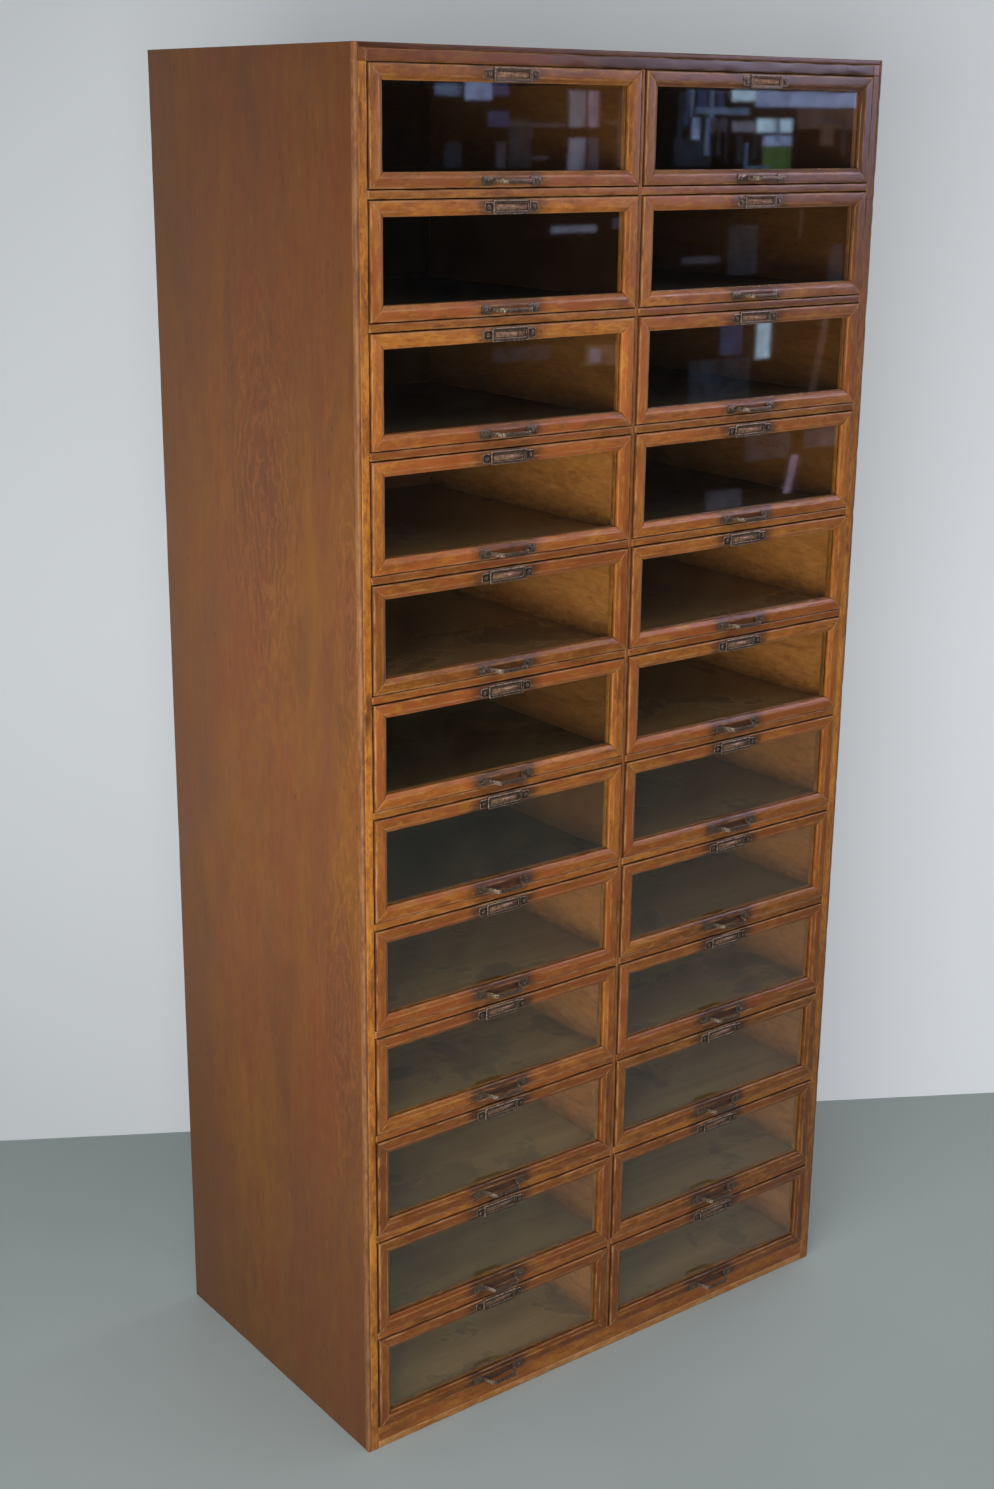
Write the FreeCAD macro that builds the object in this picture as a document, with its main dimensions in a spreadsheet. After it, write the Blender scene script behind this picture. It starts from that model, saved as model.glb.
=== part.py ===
import FreeCAD, Part
import os
import re
import Sketcher

# Haberdashery cabinet: a shallow-edged wooden carcass with two columns of twelve glazed drawers.
# X runs across the front, Y from the drawer fronts to the back and Z up. The origin is on the
# floor, under the middle of the whole cabinet with its pulls. All sizes are millimetres.

ROWS = 12
COLUMNS = {"left": -1, "right": 1}

SIZES = {
    # carcass
    "cabinet_width": 950,
    "carcass_depth": 542,
    "row_pitch": 166.7,
    "top_board": 7,
    "top_rail": 15.9,
    "top_rail_depth": 20,
    "bottom_board": 12,
    "bottom_rail": 24.3,
    "rail_height": 11.6,
    "rail_depth": 40,
    "lipping": 5.5,
    "lipping_round": 4,
    "stile": 13,
    "strip_depth": 9,
    "divider": 6,
    "back_thickness": 6,
    "back_rebate": 10,
    "runner_width": 16,
    "runner_length": 490,
    "stop_height": 10,
    "stop_length": 20,
    # drawer front
    "side_gap": 2.3,
    "front_gap": 1.2,
    "front_proud": 3,
    "member_width": 20.7,
    "member_depth": 20,
    "bevel_width": 6.5,
    "bevel_depth": 3,
    "rebate_width": 6,
    "glass_setback": 8,
    "glass_thickness": 3,
    "glass_play": 0.5,
    "bead_depth": 8,
    # drawer box
    "drawer_length": 500,
    "drawer_side": 10,
    "drawer_side_height": 135,
    "slide_play": 0.4,
    "stop_play": 0.5,
    "bottom_lift": 8,
    "bottom_thickness": 5,
    "groove_depth": 5,
    # label holder
    "holder_width": 89,
    "holder_height": 13,
    "holder_plate": 1.2,
    "rim_width": 62,
    "rim_height": 19,
    "rim_rise": 3,
    "rim_round": 1.5,
    "rim_margin": 1.3,
    "window_width": 53,
    "window_height": 9,
    "window_depth": 1.8,
    "holder_screws": 76,
    # pull
    "pull_width": 98,
    "pull_foot": 20,
    "pull_foot_height": 13,
    "pull_foot_plate": 1.2,
    "pull_lift": 2.2,
    "pull_reach": 22,
    "pull_bar": 48,
    "pull_strip": 2,
    "pull_strip_height": 6,
    "pull_screws": 82,
    # screws
    "screw_head": 6.4,
    "screw_head_height": 1.3,
    "screw_shank": 3,
    "screw_length": 12,
}

WORKED_OUT = {
    "height": f"bottom_board + bottom_rail - rail_height + {ROWS} * row_pitch + top_rail + top_board",
    "half_width": "cabinet_width / 2",
    "inner_half": "half_width - lipping - stile",
    "front_plane": "(pull_reach + front_proud - carcass_depth) / 2",
    "back_plane": "(pull_reach + front_proud + carcass_depth) / 2",
    "opening_width": "inner_half - divider / 2",
    "opening_height": "row_pitch - rail_height",
    "front_width": "opening_width - 2 * side_gap",
    "front_height": "opening_height - 2 * front_gap",
    "box_floor": "slide_play - front_gap",
    "panel_floor": "box_floor + bottom_lift",
    "panel_top": "panel_floor + bottom_thickness",
    "box_top": "box_floor + drawer_side_height",
    "holder_middle": "front_height - rim_margin - rim_height / 2",
    "pull_middle": "pull_lift + pull_foot_height / 2",
}

doc = FreeCAD.newDocument("haberdashery_cabinet")
sheet = doc.addObject("Spreadsheet::Sheet", "Sizes")
for line, (alias, number) in enumerate(SIZES.items(), start=1):
    sheet.set(f"A{line}", alias)
    sheet.set(f"B{line}", str(number))
    sheet.setAlias(f"B{line}", alias)
doc.recompute()


def sized(text):
    """The words of a size turned into cells of the sheet, with the worked-out sizes spelled out."""
    def cell(word):
        if word.group() in WORKED_OUT:
            return f"({sized(WORKED_OUT[word.group()])})"
        return f"Sizes.{word.group()}"
    return re.sub(r"[a-z][a-z_]+", cell, text)


def place(piece, x="0", y="0", z="0"):
    """Puts a piece where three sizes say."""
    for axis, size in (("x", x), ("y", y), ("z", z)):
        piece.setExpression(f"Placement.Base.{axis}", sized(size))
    return piece


def block(name, x, y, z):
    """A sawn piece between a low and a high size along each axis."""
    piece = doc.addObject("Part::Box", name)
    for side, (low, high) in (("Length", x), ("Width", y), ("Height", z)):
        piece.setExpression(side, sized(f"({high}) - ({low})"))
    return place(piece, x[0], y[0], z[0])


def cut(name, stock, *waste):
    """A piece with rebates or grooves taken out of its stock."""
    for number, tool in enumerate(waste, start=1):
        piece = doc.addObject("Part::Cut", name if number == len(waste) else f"{name}_{number}")
        piece.Base = stock
        piece.Tool = tool
        stock = piece
    return piece


def group(name, pieces):
    """Separate pieces of one kind that share a node."""
    node = doc.addObject("Part::Compound", name)
    node.Links = pieces
    return node


def outline(body, role, corners):
    """A closed sketch on an origin plane of its body, each corner held by its two sizes."""
    sketch = body.newObject("Sketcher::SketchObject", f"{body.Name}_outline")
    sketch.AttachmentSupport = [next(p for p in body.Origin.OriginFeatures if p.Role == role)]
    sketch.MapMode = "FlatFace"
    count = len(corners)
    rough = [FreeCAD.Vector(n, n * n, 0) for n in range(count)]
    for n in range(count):
        sketch.addGeometry(Part.LineSegment(rough[n], rough[(n + 1) % count]))
    for n in range(count):
        sketch.addConstraint(Sketcher.Constraint("Coincident", n, 2, (n + 1) % count, 1))
    for n, corner in enumerate(corners):
        for way, size in zip(("DistanceX", "DistanceY"), corner):
            index = sketch.addConstraint(Sketcher.Constraint(way, -1, 1, n, 1, 1.0))
            sketch.setExpression(f"Constraints[{index}]", sized(size))
    return sketch


def rectangle(x, y):
    """The four corners between two pairs of sizes."""
    return [(x[0], y[0]), (x[1], y[0]), (x[1], y[1]), (x[0], y[1])]


def feature(body, kind, sketch, length=None, both_ways=False, backwards=False):
    """A pad or pocket of a sketch; without a length it goes right through."""
    made = body.newObject(f"PartDesign::{kind}", f"{body.Name}_{kind.lower()}")
    made.Profile = sketch
    made.Reversed = backwards
    if both_ways:
        made.SideType = "Symmetric"
    if length:
        made.setExpression("Length", sized(length))
    else:
        made.Type = "ThroughAll"
    return made


def drilled(body, places, depth=None):
    """Screw holes from the face of a piece: into the wood to a depth, or out through a plate."""
    sketch = body.newObject("Sketcher::SketchObject", f"{body.Name}_holes")
    sketch.AttachmentSupport = [
        next(p for p in body.Origin.OriginFeatures if p.Role == "XZ_Plane")
    ]
    sketch.MapMode = "FlatFace"
    for n, (across, up) in enumerate(places):
        sketch.addGeometry(Part.Circle(FreeCAD.Vector(10 * n, 5, 0), FreeCAD.Vector(0, 0, 1), 1))
        for way, size in (("DistanceX", across), ("DistanceY", up)):
            index = sketch.addConstraint(Sketcher.Constraint(way, -1, 1, n, 3, 1.0))
            sketch.setExpression(f"Constraints[{index}]", sized(size))
        index = sketch.addConstraint(Sketcher.Constraint("Radius", n, 1.0))
        sketch.setExpression(f"Constraints[{index}]", sized("screw_shank / 2"))
    feature(body, "Pocket", sketch, depth, backwards=depth is None)


# Carcass ---------------------------------------------------------------------------------------

def side_panel(name, side):
    """An upright side, rebated along its inner face for the top, the bottom and the back."""
    outer = f"{side} * half_width"
    inner = f"{side} * inner_half"
    lip = f"{side} * (half_width - lipping)"
    rebate = f"{side} * (inner_half + back_rebate)"

    def across(first, second):
        return (first, second) if side < 0 else (second, first)

    depth = ("front_plane + strip_depth", "back_plane")
    stock = block(f"{name}_stock", across(outer, inner), depth, ("0", "height"))
    head = block(f"{name}_head", across(lip, inner), depth, ("height - top_board", "height"))
    foot = block(f"{name}_foot", across(lip, inner), depth, ("0", "bottom_board"))
    back = block(
        f"{name}_back", across(rebate, inner), ("back_plane - back_thickness", "back_plane"),
        ("0", "height"),
    )
    return cut(name, stock, head, foot, back)


def bottom_board():
    """The bottom board, notched at its front corners round the two stiles."""
    half = "half_width - lipping"
    board = block(
        "bottom_board_stock", (f"-({half})", half), ("front_plane", "back_plane - back_thickness"),
        ("0", "bottom_board"),
    )
    notch_depth = ("front_plane", "front_plane + strip_depth")
    left = block("left_notch", (f"-({half})", "-inner_half"), notch_depth, ("0", "bottom_board"))
    right = block("right_notch", ("inner_half", half), notch_depth, ("0", "bottom_board"))
    return cut("bottom_board", board, left, right)


def centre_partition():
    """The thin middle wall, notched round the top and bottom rails, and its front strip."""
    rails_from = "bottom_board + bottom_rail"
    rails_to = "height - top_board - top_rail"
    wall = doc.addObject("PartDesign::Body", "partition_wall")
    profile = outline(wall, "YZ_Plane", [
        ("front_plane + strip_depth", rails_from),
        ("front_plane + rail_depth", rails_from),
        ("front_plane + rail_depth", "bottom_board"),
        ("back_plane - back_thickness", "bottom_board"),
        ("back_plane - back_thickness", "height - top_board"),
        ("front_plane + top_rail_depth", "height - top_board"),
        ("front_plane + top_rail_depth", rails_to),
        ("front_plane + strip_depth", rails_to),
    ])
    feature(wall, "Pad", profile, "divider", both_ways=True)
    strip = block(
        "divider_strip", ("-divider / 2", "divider / 2"),
        ("front_plane", "front_plane + strip_depth"), (rails_from, rails_to),
    )
    return group("centre_partition", [wall, strip])


def front_stiles():
    """On each front edge: a rounded lipping, a stile inside it and a corner block on the stile."""
    pieces = []
    depth = ("front_plane", "front_plane + strip_depth")
    block_from = "height - top_board - top_rail"
    for column, side in COLUMNS.items():
        body = doc.addObject("PartDesign::Body", f"{column}_lipping")
        section = rectangle((f"{side} * (half_width - lipping)", f"{side} * half_width"), depth)
        stick = feature(body, "Pad", outline(body, "XY_Plane", section), "height")
        doc.recompute()
        corners = [
            f"Edge{n}" for n, edge in enumerate(stick.Shape.Edges, start=1)
            if edge.BoundBox.ZLength > edge.BoundBox.DiagonalLength * 0.99
        ]
        outermost = min(corners, key=lambda name: (
            side * -round(stick.Shape.getElement(name).BoundBox.XMin, 3),
            stick.Shape.getElement(name).BoundBox.YMin,
        ))
        rounding = body.newObject("PartDesign::Fillet", f"{column}_lipping_rounding")
        rounding.Base = (stick, [outermost])
        rounding.setExpression("Radius", sized("lipping_round"))
        inner, outer = (f"{side} * inner_half", f"{side} * (half_width - lipping)")
        width = (outer, inner) if side < 0 else (inner, outer)
        pieces += [
            body,
            block(f"{column}_stile", width, depth, ("0", block_from)),
            block(f"{column}_corner_block", width, depth, (block_from, "height - top_board")),
        ]
    return group("front_stiles", pieces)


def drawer_level(row):
    """Height of the rail that the drawers of a row slide on; row 1 is the top one."""
    return f"height - top_board - top_rail - {row} * row_pitch + rail_height"


def slideway():
    """The rails, runners and stop blocks that carry the drawers, in three groups."""
    rails, runners, stops = [], [], []
    for row in range(1, ROWS + 1):
        level = drawer_level(row)
        thickness = (f"{level} - rail_height", level)
        for column, side in COLUMNS.items():
            walls = ("-inner_half", "-divider / 2") if side < 0 else ("divider / 2", "inner_half")
            tag = f"{column}_{row:02d}"
            if row < ROWS:
                front = ("front_plane", "front_plane + rail_depth")
                rails.append(block(f"rail_{tag}", walls, front, thickness))
            run = ("front_plane + rail_depth", "front_plane + rail_depth + runner_length")
            stop_face = "front_plane - front_proud + drawer_length + stop_play"
            stop = (stop_face, f"{stop_face} + stop_length")
            for end, low, high in (
                ("a", walls[0], f"{walls[0]} + runner_width"),
                ("b", f"{walls[1]} - runner_width", walls[1]),
            ):
                runners.append(block(f"runner_{tag}{end}", (low, high), run, thickness))
                stops.append(
                    block(f"stop_{tag}{end}", (low, high), stop, (level, f"{level} + stop_height"))
                )
    return [
        group("drawer_rails", rails),
        group("drawer_runners", runners),
        group("drawer_stops", stops),
    ]


def carcass():
    """Every fixed node of the cabinet."""
    board_half = "half_width - lipping"
    back_half = "inner_half + back_rebate"
    between_sides = ("-inner_half", "inner_half")
    top_board = block(
        "top_board", (f"-({board_half})", board_half), ("front_plane", "back_plane"),
        ("height - top_board", "height"),
    )
    back_panel = block(
        "back_panel", (f"-({back_half})", back_half),
        ("back_plane - back_thickness", "back_plane"), ("0", "height - top_board"),
    )
    top_rail = block(
        "top_rail", between_sides, ("front_plane", "front_plane + top_rail_depth"),
        ("height - top_board - top_rail", "height - top_board"),
    )
    bottom_rail = block(
        "bottom_rail", between_sides, ("front_plane", "front_plane + rail_depth"),
        ("bottom_board", "bottom_board + bottom_rail"),
    )
    sides = [side_panel(f"{column}_side_panel", side) for column, side in COLUMNS.items()]
    return sides + [
        top_board, bottom_board(), back_panel, centre_partition(), front_stiles(), top_rail,
        bottom_rail,
    ] + slideway()


# Drawer, made once: X from its middle, Y from its face and Z from the bottom edge of its front --

def front_member(name, length, screws=()):
    """A mitred member of the glazed front, bevelled towards the glass and rebated behind it."""
    body = doc.addObject("PartDesign::Body", name)
    mitred = outline(body, "XZ_Plane", [
        (f"-{length} / 2", "0"),
        (f"{length} / 2", "0"),
        (f"{length} / 2 - member_width", "member_width"),
        (f"member_width - {length} / 2", "member_width"),
    ])
    feature(body, "Pad", mitred, "member_depth", backwards=True)
    bevel = outline(body, "YZ_Plane", [
        ("0", "member_width - bevel_width"),
        ("0", "member_width"),
        ("bevel_depth", "member_width"),
    ])
    feature(body, "Pocket", bevel, both_ways=True)
    rebate = outline(body, "YZ_Plane", rectangle(
        ("glass_setback", "member_depth"), ("member_width - rebate_width", "member_width"),
    ))
    feature(body, "Pocket", rebate, both_ways=True)
    if screws:
        drilled(body, screws, "screw_length")
    return body


def turned(piece, angle):
    """Turns a piece about the Y axis, in the plane of the front."""
    piece.Placement.Rotation = FreeCAD.Rotation(FreeCAD.Vector(0, 1, 0), angle)
    return piece


def glazed_front():
    """Four mitred members and the four beads that hold the glass in their rebates."""
    bottom = front_member("bottom_member", "front_width", [
        ("-pull_screws / 2", "pull_middle"), ("pull_screws / 2", "pull_middle"),
    ])
    top = front_member("top_member", "front_width", [
        ("-holder_screws / 2", "front_height - holder_middle"),
        ("holder_screws / 2", "front_height - holder_middle"),
    ])
    left = front_member("left_member", "front_height")
    right = front_member("right_member", "front_height")
    place(turned(top, 180), z="front_height")
    place(turned(left, 90), x="-front_width / 2", z="front_height / 2")
    place(turned(right, -90), x="front_width / 2", z="front_height / 2")

    edge = "member_width - rebate_width"
    glass_back = "glass_setback + glass_thickness"
    depth = (glass_back, f"{glass_back} + bead_depth")
    long_run = (f"{edge} - front_width / 2", f"front_width / 2 - ({edge})")
    short_run = ("member_width", "front_height - member_width")
    beads = [
        block("bottom_bead", long_run, depth, (edge, "member_width")),
        block(
            "top_bead", long_run, depth,
            ("front_height - member_width", f"front_height - ({edge})"),
        ),
        block(
            "left_bead", (f"{edge} - front_width / 2", "member_width - front_width / 2"), depth,
            short_run,
        ),
        block(
            "right_bead", ("front_width / 2 - member_width", f"front_width / 2 - ({edge})"), depth,
            short_run,
        ),
    ]
    return [bottom, top, left, right] + beads


def drawer_box():
    """Two grooved sides, the thin bottom that slides into them and the back that stands on it."""
    length = ("member_depth", "drawer_length")
    sides = []
    for column, side in COLUMNS.items():
        outer, inner = (f"{side} * front_width / 2", f"{side} * (front_width / 2 - drawer_side)")
        deep = f"{side} * (front_width / 2 - drawer_side + groove_depth)"
        width = (outer, inner) if side < 0 else (inner, outer)
        channel = (deep, inner) if side < 0 else (inner, deep)
        stock = block(f"{column}_side_stock", width, length, ("box_floor", "box_top"))
        groove = block(f"{column}_side_groove", channel, length, ("panel_floor", "panel_top"))
        sides.append(cut(f"{column}_drawer_side", stock, groove))
    panel_half = "front_width / 2 - drawer_side + groove_depth"
    panel = block(
        "drawer_bottom", (f"-({panel_half})", panel_half), length, ("panel_floor", "panel_top")
    )
    back_half = "front_width / 2 - drawer_side"
    back = block(
        "drawer_back", (f"-({back_half})", back_half),
        ("drawer_length - drawer_side", "drawer_length"), ("panel_top", "box_top"),
    )
    return sides + [panel, back]


def glass_pane():
    """The pane, a little smaller than its rebate."""
    edge = "member_width - rebate_width + glass_play"
    return block(
        "glass_pane", (f"{edge} - front_width / 2", f"front_width / 2 - ({edge})"),
        ("glass_setback", "glass_setback + glass_thickness"), (edge, f"front_height - ({edge})"),
    )


def label_holder():
    """A thin plate with a screw at each end and a raised, rounded rim round an empty window."""
    body = doc.addObject("PartDesign::Body", "label_holder")
    plate = outline(body, "XZ_Plane", rectangle(
        ("-holder_width / 2", "holder_width / 2"), ("-holder_height / 2", "holder_height / 2"),
    ))
    feature(body, "Pad", plate, "holder_plate")
    rim = outline(body, "XZ_Plane", rectangle(
        ("-rim_width / 2", "rim_width / 2"), ("-rim_height / 2", "rim_height / 2"),
    ))
    raised = feature(body, "Pad", rim, "rim_rise")
    doc.recompute()
    faces = range(1, len(raised.Shape.Faces) + 1)
    front = min(faces, key=lambda n: raised.Shape.Faces[n - 1].CenterOfMass.y)
    rounding = body.newObject("PartDesign::Fillet", "rim_rounding")
    rounding.Base = (raised, [f"Face{front}"])
    rounding.setExpression("Radius", sized("rim_round"))
    window = outline(body, "XZ_Plane", rectangle(
        ("-window_width / 2", "window_width / 2"), ("-window_height / 2", "window_height / 2"),
    ))
    window.setExpression("AttachmentOffset.Base.z", sized("rim_rise"))
    feature(body, "Pocket", window, "window_depth")
    drilled(body, [("-holder_screws / 2", "0"), ("holder_screws / 2", "0")])
    return place(body, z="holder_middle")


def pull():
    """A bow of flat strip on two screwed feet, in five straight lengths that meet at its folds."""
    pieces = []
    for column, side in COLUMNS.items():
        foot = doc.addObject("PartDesign::Body", f"{column}_pull_foot")
        plate = outline(foot, "XZ_Plane", rectangle(
            (f"{side} * (pull_width / 2 - pull_foot)", f"{side} * pull_width / 2"),
            ("-pull_foot_height / 2", "pull_foot_height / 2"),
        ))
        feature(foot, "Pad", plate, "pull_foot_plate")
        drilled(foot, [(f"{side} * pull_screws / 2", "0")])
        pieces.append(place(foot, z="pull_middle"))
    root = "(pull_width / 2 - pull_foot)"
    legs = {
        f"{column}_pull_leg": [
            (f"{side} * {root}", "0"),
            (f"{side} * ({root} - pull_strip)", "0"),
            (f"{side} * (pull_bar / 2 - pull_strip)", "pull_strip - pull_reach"),
            (f"{side} * pull_bar / 2", "-pull_reach"),
        ] for column, side in COLUMNS.items()
    }
    bar = {"pull_bar": [
        ("-pull_bar / 2", "-pull_reach"),
        ("pull_bar / 2", "-pull_reach"),
        ("pull_bar / 2 - pull_strip", "pull_strip - pull_reach"),
        ("pull_strip - pull_bar / 2", "pull_strip - pull_reach"),
    ]}
    for name, corners in {**legs, **bar}.items():
        body = doc.addObject("PartDesign::Body", name)
        feature(body, "Pad", outline(body, "XY_Plane", corners), "pull_strip_height")
        pieces.append(place(body, z="pull_middle - pull_strip_height / 2"))
    return pieces


def screw(name, x, seat, z):
    """A round-headed wood screw with its axis along Y."""
    body = doc.addObject("PartDesign::Body", name)
    profile = outline(body, "XY_Plane", [
        ("0", f"-{seat} - screw_head_height"),
        ("screw_head / 4", f"-{seat} - screw_head_height"),
        ("screw_head / 2", f"-{seat} - screw_head_height / 3"),
        ("screw_head / 2", f"-{seat}"),
        ("screw_shank / 2", f"-{seat}"),
        ("screw_shank / 2", "screw_length"),
        ("0", "screw_length"),
    ])
    spun = body.newObject("PartDesign::Revolution", f"{name}_turning")
    spun.Profile = profile
    spun.ReferenceAxis = (profile, ["V_Axis"])
    return place(body, x=x, z=z)


def screws():
    """Two screws through the label holder and two through the feet of the pull."""
    made = []
    for column, side in COLUMNS.items():
        made.append(screw(
            f"{column}_holder_screw", f"{side} * holder_screws / 2", "holder_plate", "holder_middle"
        ))
        made.append(screw(
            f"{column}_pull_screw", f"{side} * pull_screws / 2", "pull_foot_plate", "pull_middle"
        ))
    return made


def drawers():
    """The same drawer in its twenty-four places, each as a wooden part and a fitted part."""
    wood = glazed_front() + drawer_box()
    fitted = [glass_pane(), label_holder()] + pull() + screws()
    made = []
    for column, side in COLUMNS.items():
        for row in range(1, ROWS + 1):
            name = f"{column}_drawer_{row:02d}"
            for part_name, pieces in (("box", wood), ("glass_and_pull", fitted)):
                made.append(place(
                    group(f"{name}_{part_name}", pieces),
                    x=f"{side} * (opening_width + divider) / 2",
                    y="front_plane - front_proud",
                    z=f"{drawer_level(row)} + front_gap",
                ))
    return made


nodes = carcass() + drawers()
doc.recompute()

for item in doc.Objects:
    if {"Invalid", "Error"} & set(item.State):
        raise RuntimeError(f"{item.Name} failed: {item.State}")
for node in nodes:
    if node.Shape.isNull() or not node.Shape.isValid():
        raise RuntimeError(f"{node.Label} has no valid shape")

os.makedirs("parts", exist_ok=True)
for node in nodes:
    node.Shape.exportStep(f"parts/{node.Label}.step")
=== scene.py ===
import math
import random

import bpy
from mathutils import Matrix, Vector, noise


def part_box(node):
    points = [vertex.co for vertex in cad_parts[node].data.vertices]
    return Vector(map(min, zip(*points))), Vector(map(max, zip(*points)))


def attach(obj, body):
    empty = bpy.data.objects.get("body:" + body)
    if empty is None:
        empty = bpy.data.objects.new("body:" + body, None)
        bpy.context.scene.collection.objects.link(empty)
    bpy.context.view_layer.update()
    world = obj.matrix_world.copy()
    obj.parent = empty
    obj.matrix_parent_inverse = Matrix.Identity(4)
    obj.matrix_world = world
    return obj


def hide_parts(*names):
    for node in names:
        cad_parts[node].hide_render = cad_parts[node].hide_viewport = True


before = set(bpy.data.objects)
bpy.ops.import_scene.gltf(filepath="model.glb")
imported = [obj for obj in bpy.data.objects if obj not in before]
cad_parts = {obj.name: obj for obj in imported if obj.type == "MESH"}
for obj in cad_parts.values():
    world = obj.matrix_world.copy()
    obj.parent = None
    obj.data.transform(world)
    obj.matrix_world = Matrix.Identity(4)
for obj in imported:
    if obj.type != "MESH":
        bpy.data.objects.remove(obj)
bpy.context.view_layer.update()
shop = random.Random(1928)


# The room ---------------------------------------------------------------------------------------
# The cabinet stands on a painted grey-green floor, its back corner a hand's breadth from a plaster
# wall that runs askew behind it. Four soft boxes light it, and the camera stands at its left front.

def node(tree, kind, inputs=None, **settings):
    """A shader node with its settings, and its sockets set or wired to another node's output."""
    made = tree.nodes.new("ShaderNode" + kind)
    for name, value in settings.items():
        setattr(made, name, value)
    for socket, value in (inputs or {}).items():
        if isinstance(value, bpy.types.NodeSocket):
            tree.links.new(value, made.inputs[socket])
        else:
            made.inputs[socket].default_value = value
    return made


def blank_finish(name):
    """A new material and its node tree, with nothing in it but the output."""
    finish = bpy.data.materials.new(name)
    finish.use_nodes = True
    tree = finish.node_tree
    tree.nodes.clear()
    return finish, tree


def surface(tree, shader):
    """Sends a shader to the material's output."""
    node(tree, "OutputMaterial", {"Surface": shader})


def mottled(tree, coordinates, stretch, detail, roughness=0.55, distortion=0.0):
    """Cloudy noise whose clouds are stretched along each axis; stretch is in clouds a metre."""
    scaled = node(tree, "VectorMath", {0: coordinates, 1: stretch}, operation="MULTIPLY")
    cloud = node(tree, "TexNoise", {
        "Vector": scaled.outputs[0], "Scale": 1.0, "Detail": detail, "Roughness": roughness,
        "Distortion": distortion,
    })
    return cloud.outputs["Fac"]


def between(tree, value, low, high, to_low=0.0, to_high=1.0):
    """Spreads the stretch of a value between low and high over another range."""
    spread = node(tree, "MapRange", {
        "Value": value, "From Min": low, "From Max": high, "To Min": to_low, "To Max": to_high,
    })
    return spread.outputs["Result"]


def worked_out(tree, operation, first, second):
    """Two values added, subtracted or otherwise put together."""
    return node(tree, "Math", {0: first, 1: second}, operation=operation).outputs[0]


def times(tree, first, second):
    """One value scaled by another."""
    return worked_out(tree, "MULTIPLY", first, second)


def place_in_room(tree):
    """How far each place is to the right, to the back and up, in metres."""
    place = node(tree, "NewGeometry").outputs["Position"]
    return node(tree, "SeparateXYZ", {0: place}).outputs


def blended(tree, share, first, second, way="MIX"):
    """Two colours mixed, or the second laid on the first in another way."""
    mixed = node(tree, "Mix", {0: share, 6: first, 7: second}, data_type="RGBA", blend_type=way)
    return mixed.outputs[2]


def tinged(tree, colour, tinge, cloud, start, full, most=1.0):
    """A colour that takes on another as a cloud passes from start to full."""
    return blended(tree, between(tree, cloud, start, full, 0.0, most), colour, tinge)


def flat_sheet(name, corners):
    """A single flat face that belongs to the room and isn't part of the cabinet."""
    mesh = bpy.data.meshes.new(name)
    mesh.from_pydata([Vector(c) for c in corners], [], [range(len(corners))])
    sheet = bpy.data.objects.new(name, mesh)
    bpy.context.scene.collection.objects.link(sheet)
    return sheet


FLOOR_PAINT = (0.372, 0.420, 0.413, 1)
FLOOR_SCUFF = (0.338, 0.383, 0.376, 1)
FLOOR_PAINTED_LIGHT = (0.450, 0.504, 0.495, 1)
FLOOR_REACH = 14

floor = flat_sheet("floor", [
    (-FLOOR_REACH, -FLOOR_REACH, 0), (FLOOR_REACH, -FLOOR_REACH, 0),
    (FLOOR_REACH, FLOOR_REACH, 0), (-FLOOR_REACH, FLOOR_REACH, 0),
])
floor_paint, tree = blank_finish("floor_paint")
place = node(tree, "NewGeometry").outputs["Position"]
worn_paint = mottled(tree, place, (1.1, 1.1, 1.1), detail=6)
colour = tinged(tree, FLOOR_SCUFF, FLOOR_PAINT, worn_paint, 0.35, 0.65)
# Painted light: the floor is drawn lighter towards the right.
to_the_right = place_in_room(tree)[0]
colour = tinged(tree, colour, FLOOR_PAINTED_LIGHT, to_the_right, 0.0, 1.3)
surface(tree, node(tree, "BsdfPrincipled", {"Base Color": colour, "Roughness": 0.55}).outputs[0])
floor.data.materials.append(floor_paint)

WALL_PLASTER = (0.435, 0.455, 0.470, 1)
WALL_PAINTED_SHADE = (0.375, 0.395, 0.410, 1)
WALL_PAINTED_GLOW = (0.97, 1.0, 1.05, 1)
WALL_HEIGHT = 4.5
WALL_LEFT, WALL_RIGHT = Vector((-6.02, 4.19, 0)), Vector((6.41, -3.03, 0))

wall = flat_sheet("wall", [
    WALL_LEFT, WALL_RIGHT, WALL_RIGHT + Vector((0, 0, WALL_HEIGHT)),
    WALL_LEFT + Vector((0, 0, WALL_HEIGHT)),
])
# The wall neither shades nor tints the cabinet, and from behind it isn't there.
wall.visible_shadow = False
wall.visible_diffuse = False
plaster, tree = blank_finish("plaster")
seen_behind = node(tree, "NewGeometry").outputs["Backfacing"]
across, _, up = place_in_room(tree)
# Painted shade: the plaster is drawn darker towards the upper left.
shaded_upper_left = times(tree, between(tree, across, 0.3, -1.2), between(tree, up, 1.2, 2.2))
colour = blended(tree, shaded_upper_left, WALL_PLASTER, WALL_PAINTED_SHADE)
painted = node(tree, "BsdfDiffuse", {"Color": colour}).outputs[0]
# Painted light: the plaster also glows, brighter to the right and dimmer higher up.
painted_daylight = times(
    tree, between(tree, across, -1.5, 2.0, 0.03, 0.43), between(tree, up, 1.0, 2.2, 1.0, 0.72))
glow = node(tree, "Emission", {"Color": WALL_PAINTED_GLOW, "Strength": painted_daylight}).outputs[0]
lit = node(tree, "AddShader", {0: painted, 1: glow}).outputs[0]
surface(tree, node(tree, "MixShader", {
    0: seen_behind, 1: lit, 2: node(tree, "BsdfTransparent").outputs[0],
}).outputs[0])
wall.data.materials.append(plaster)

# The room's own light, how strongly it falls on the cabinet, and how bright the room looks.
ROOM_LIGHT = (0.92, 0.96, 1.0, 1)
ROOM_LEVEL = 0.26
ROOM_SEEN = 0.50

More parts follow.
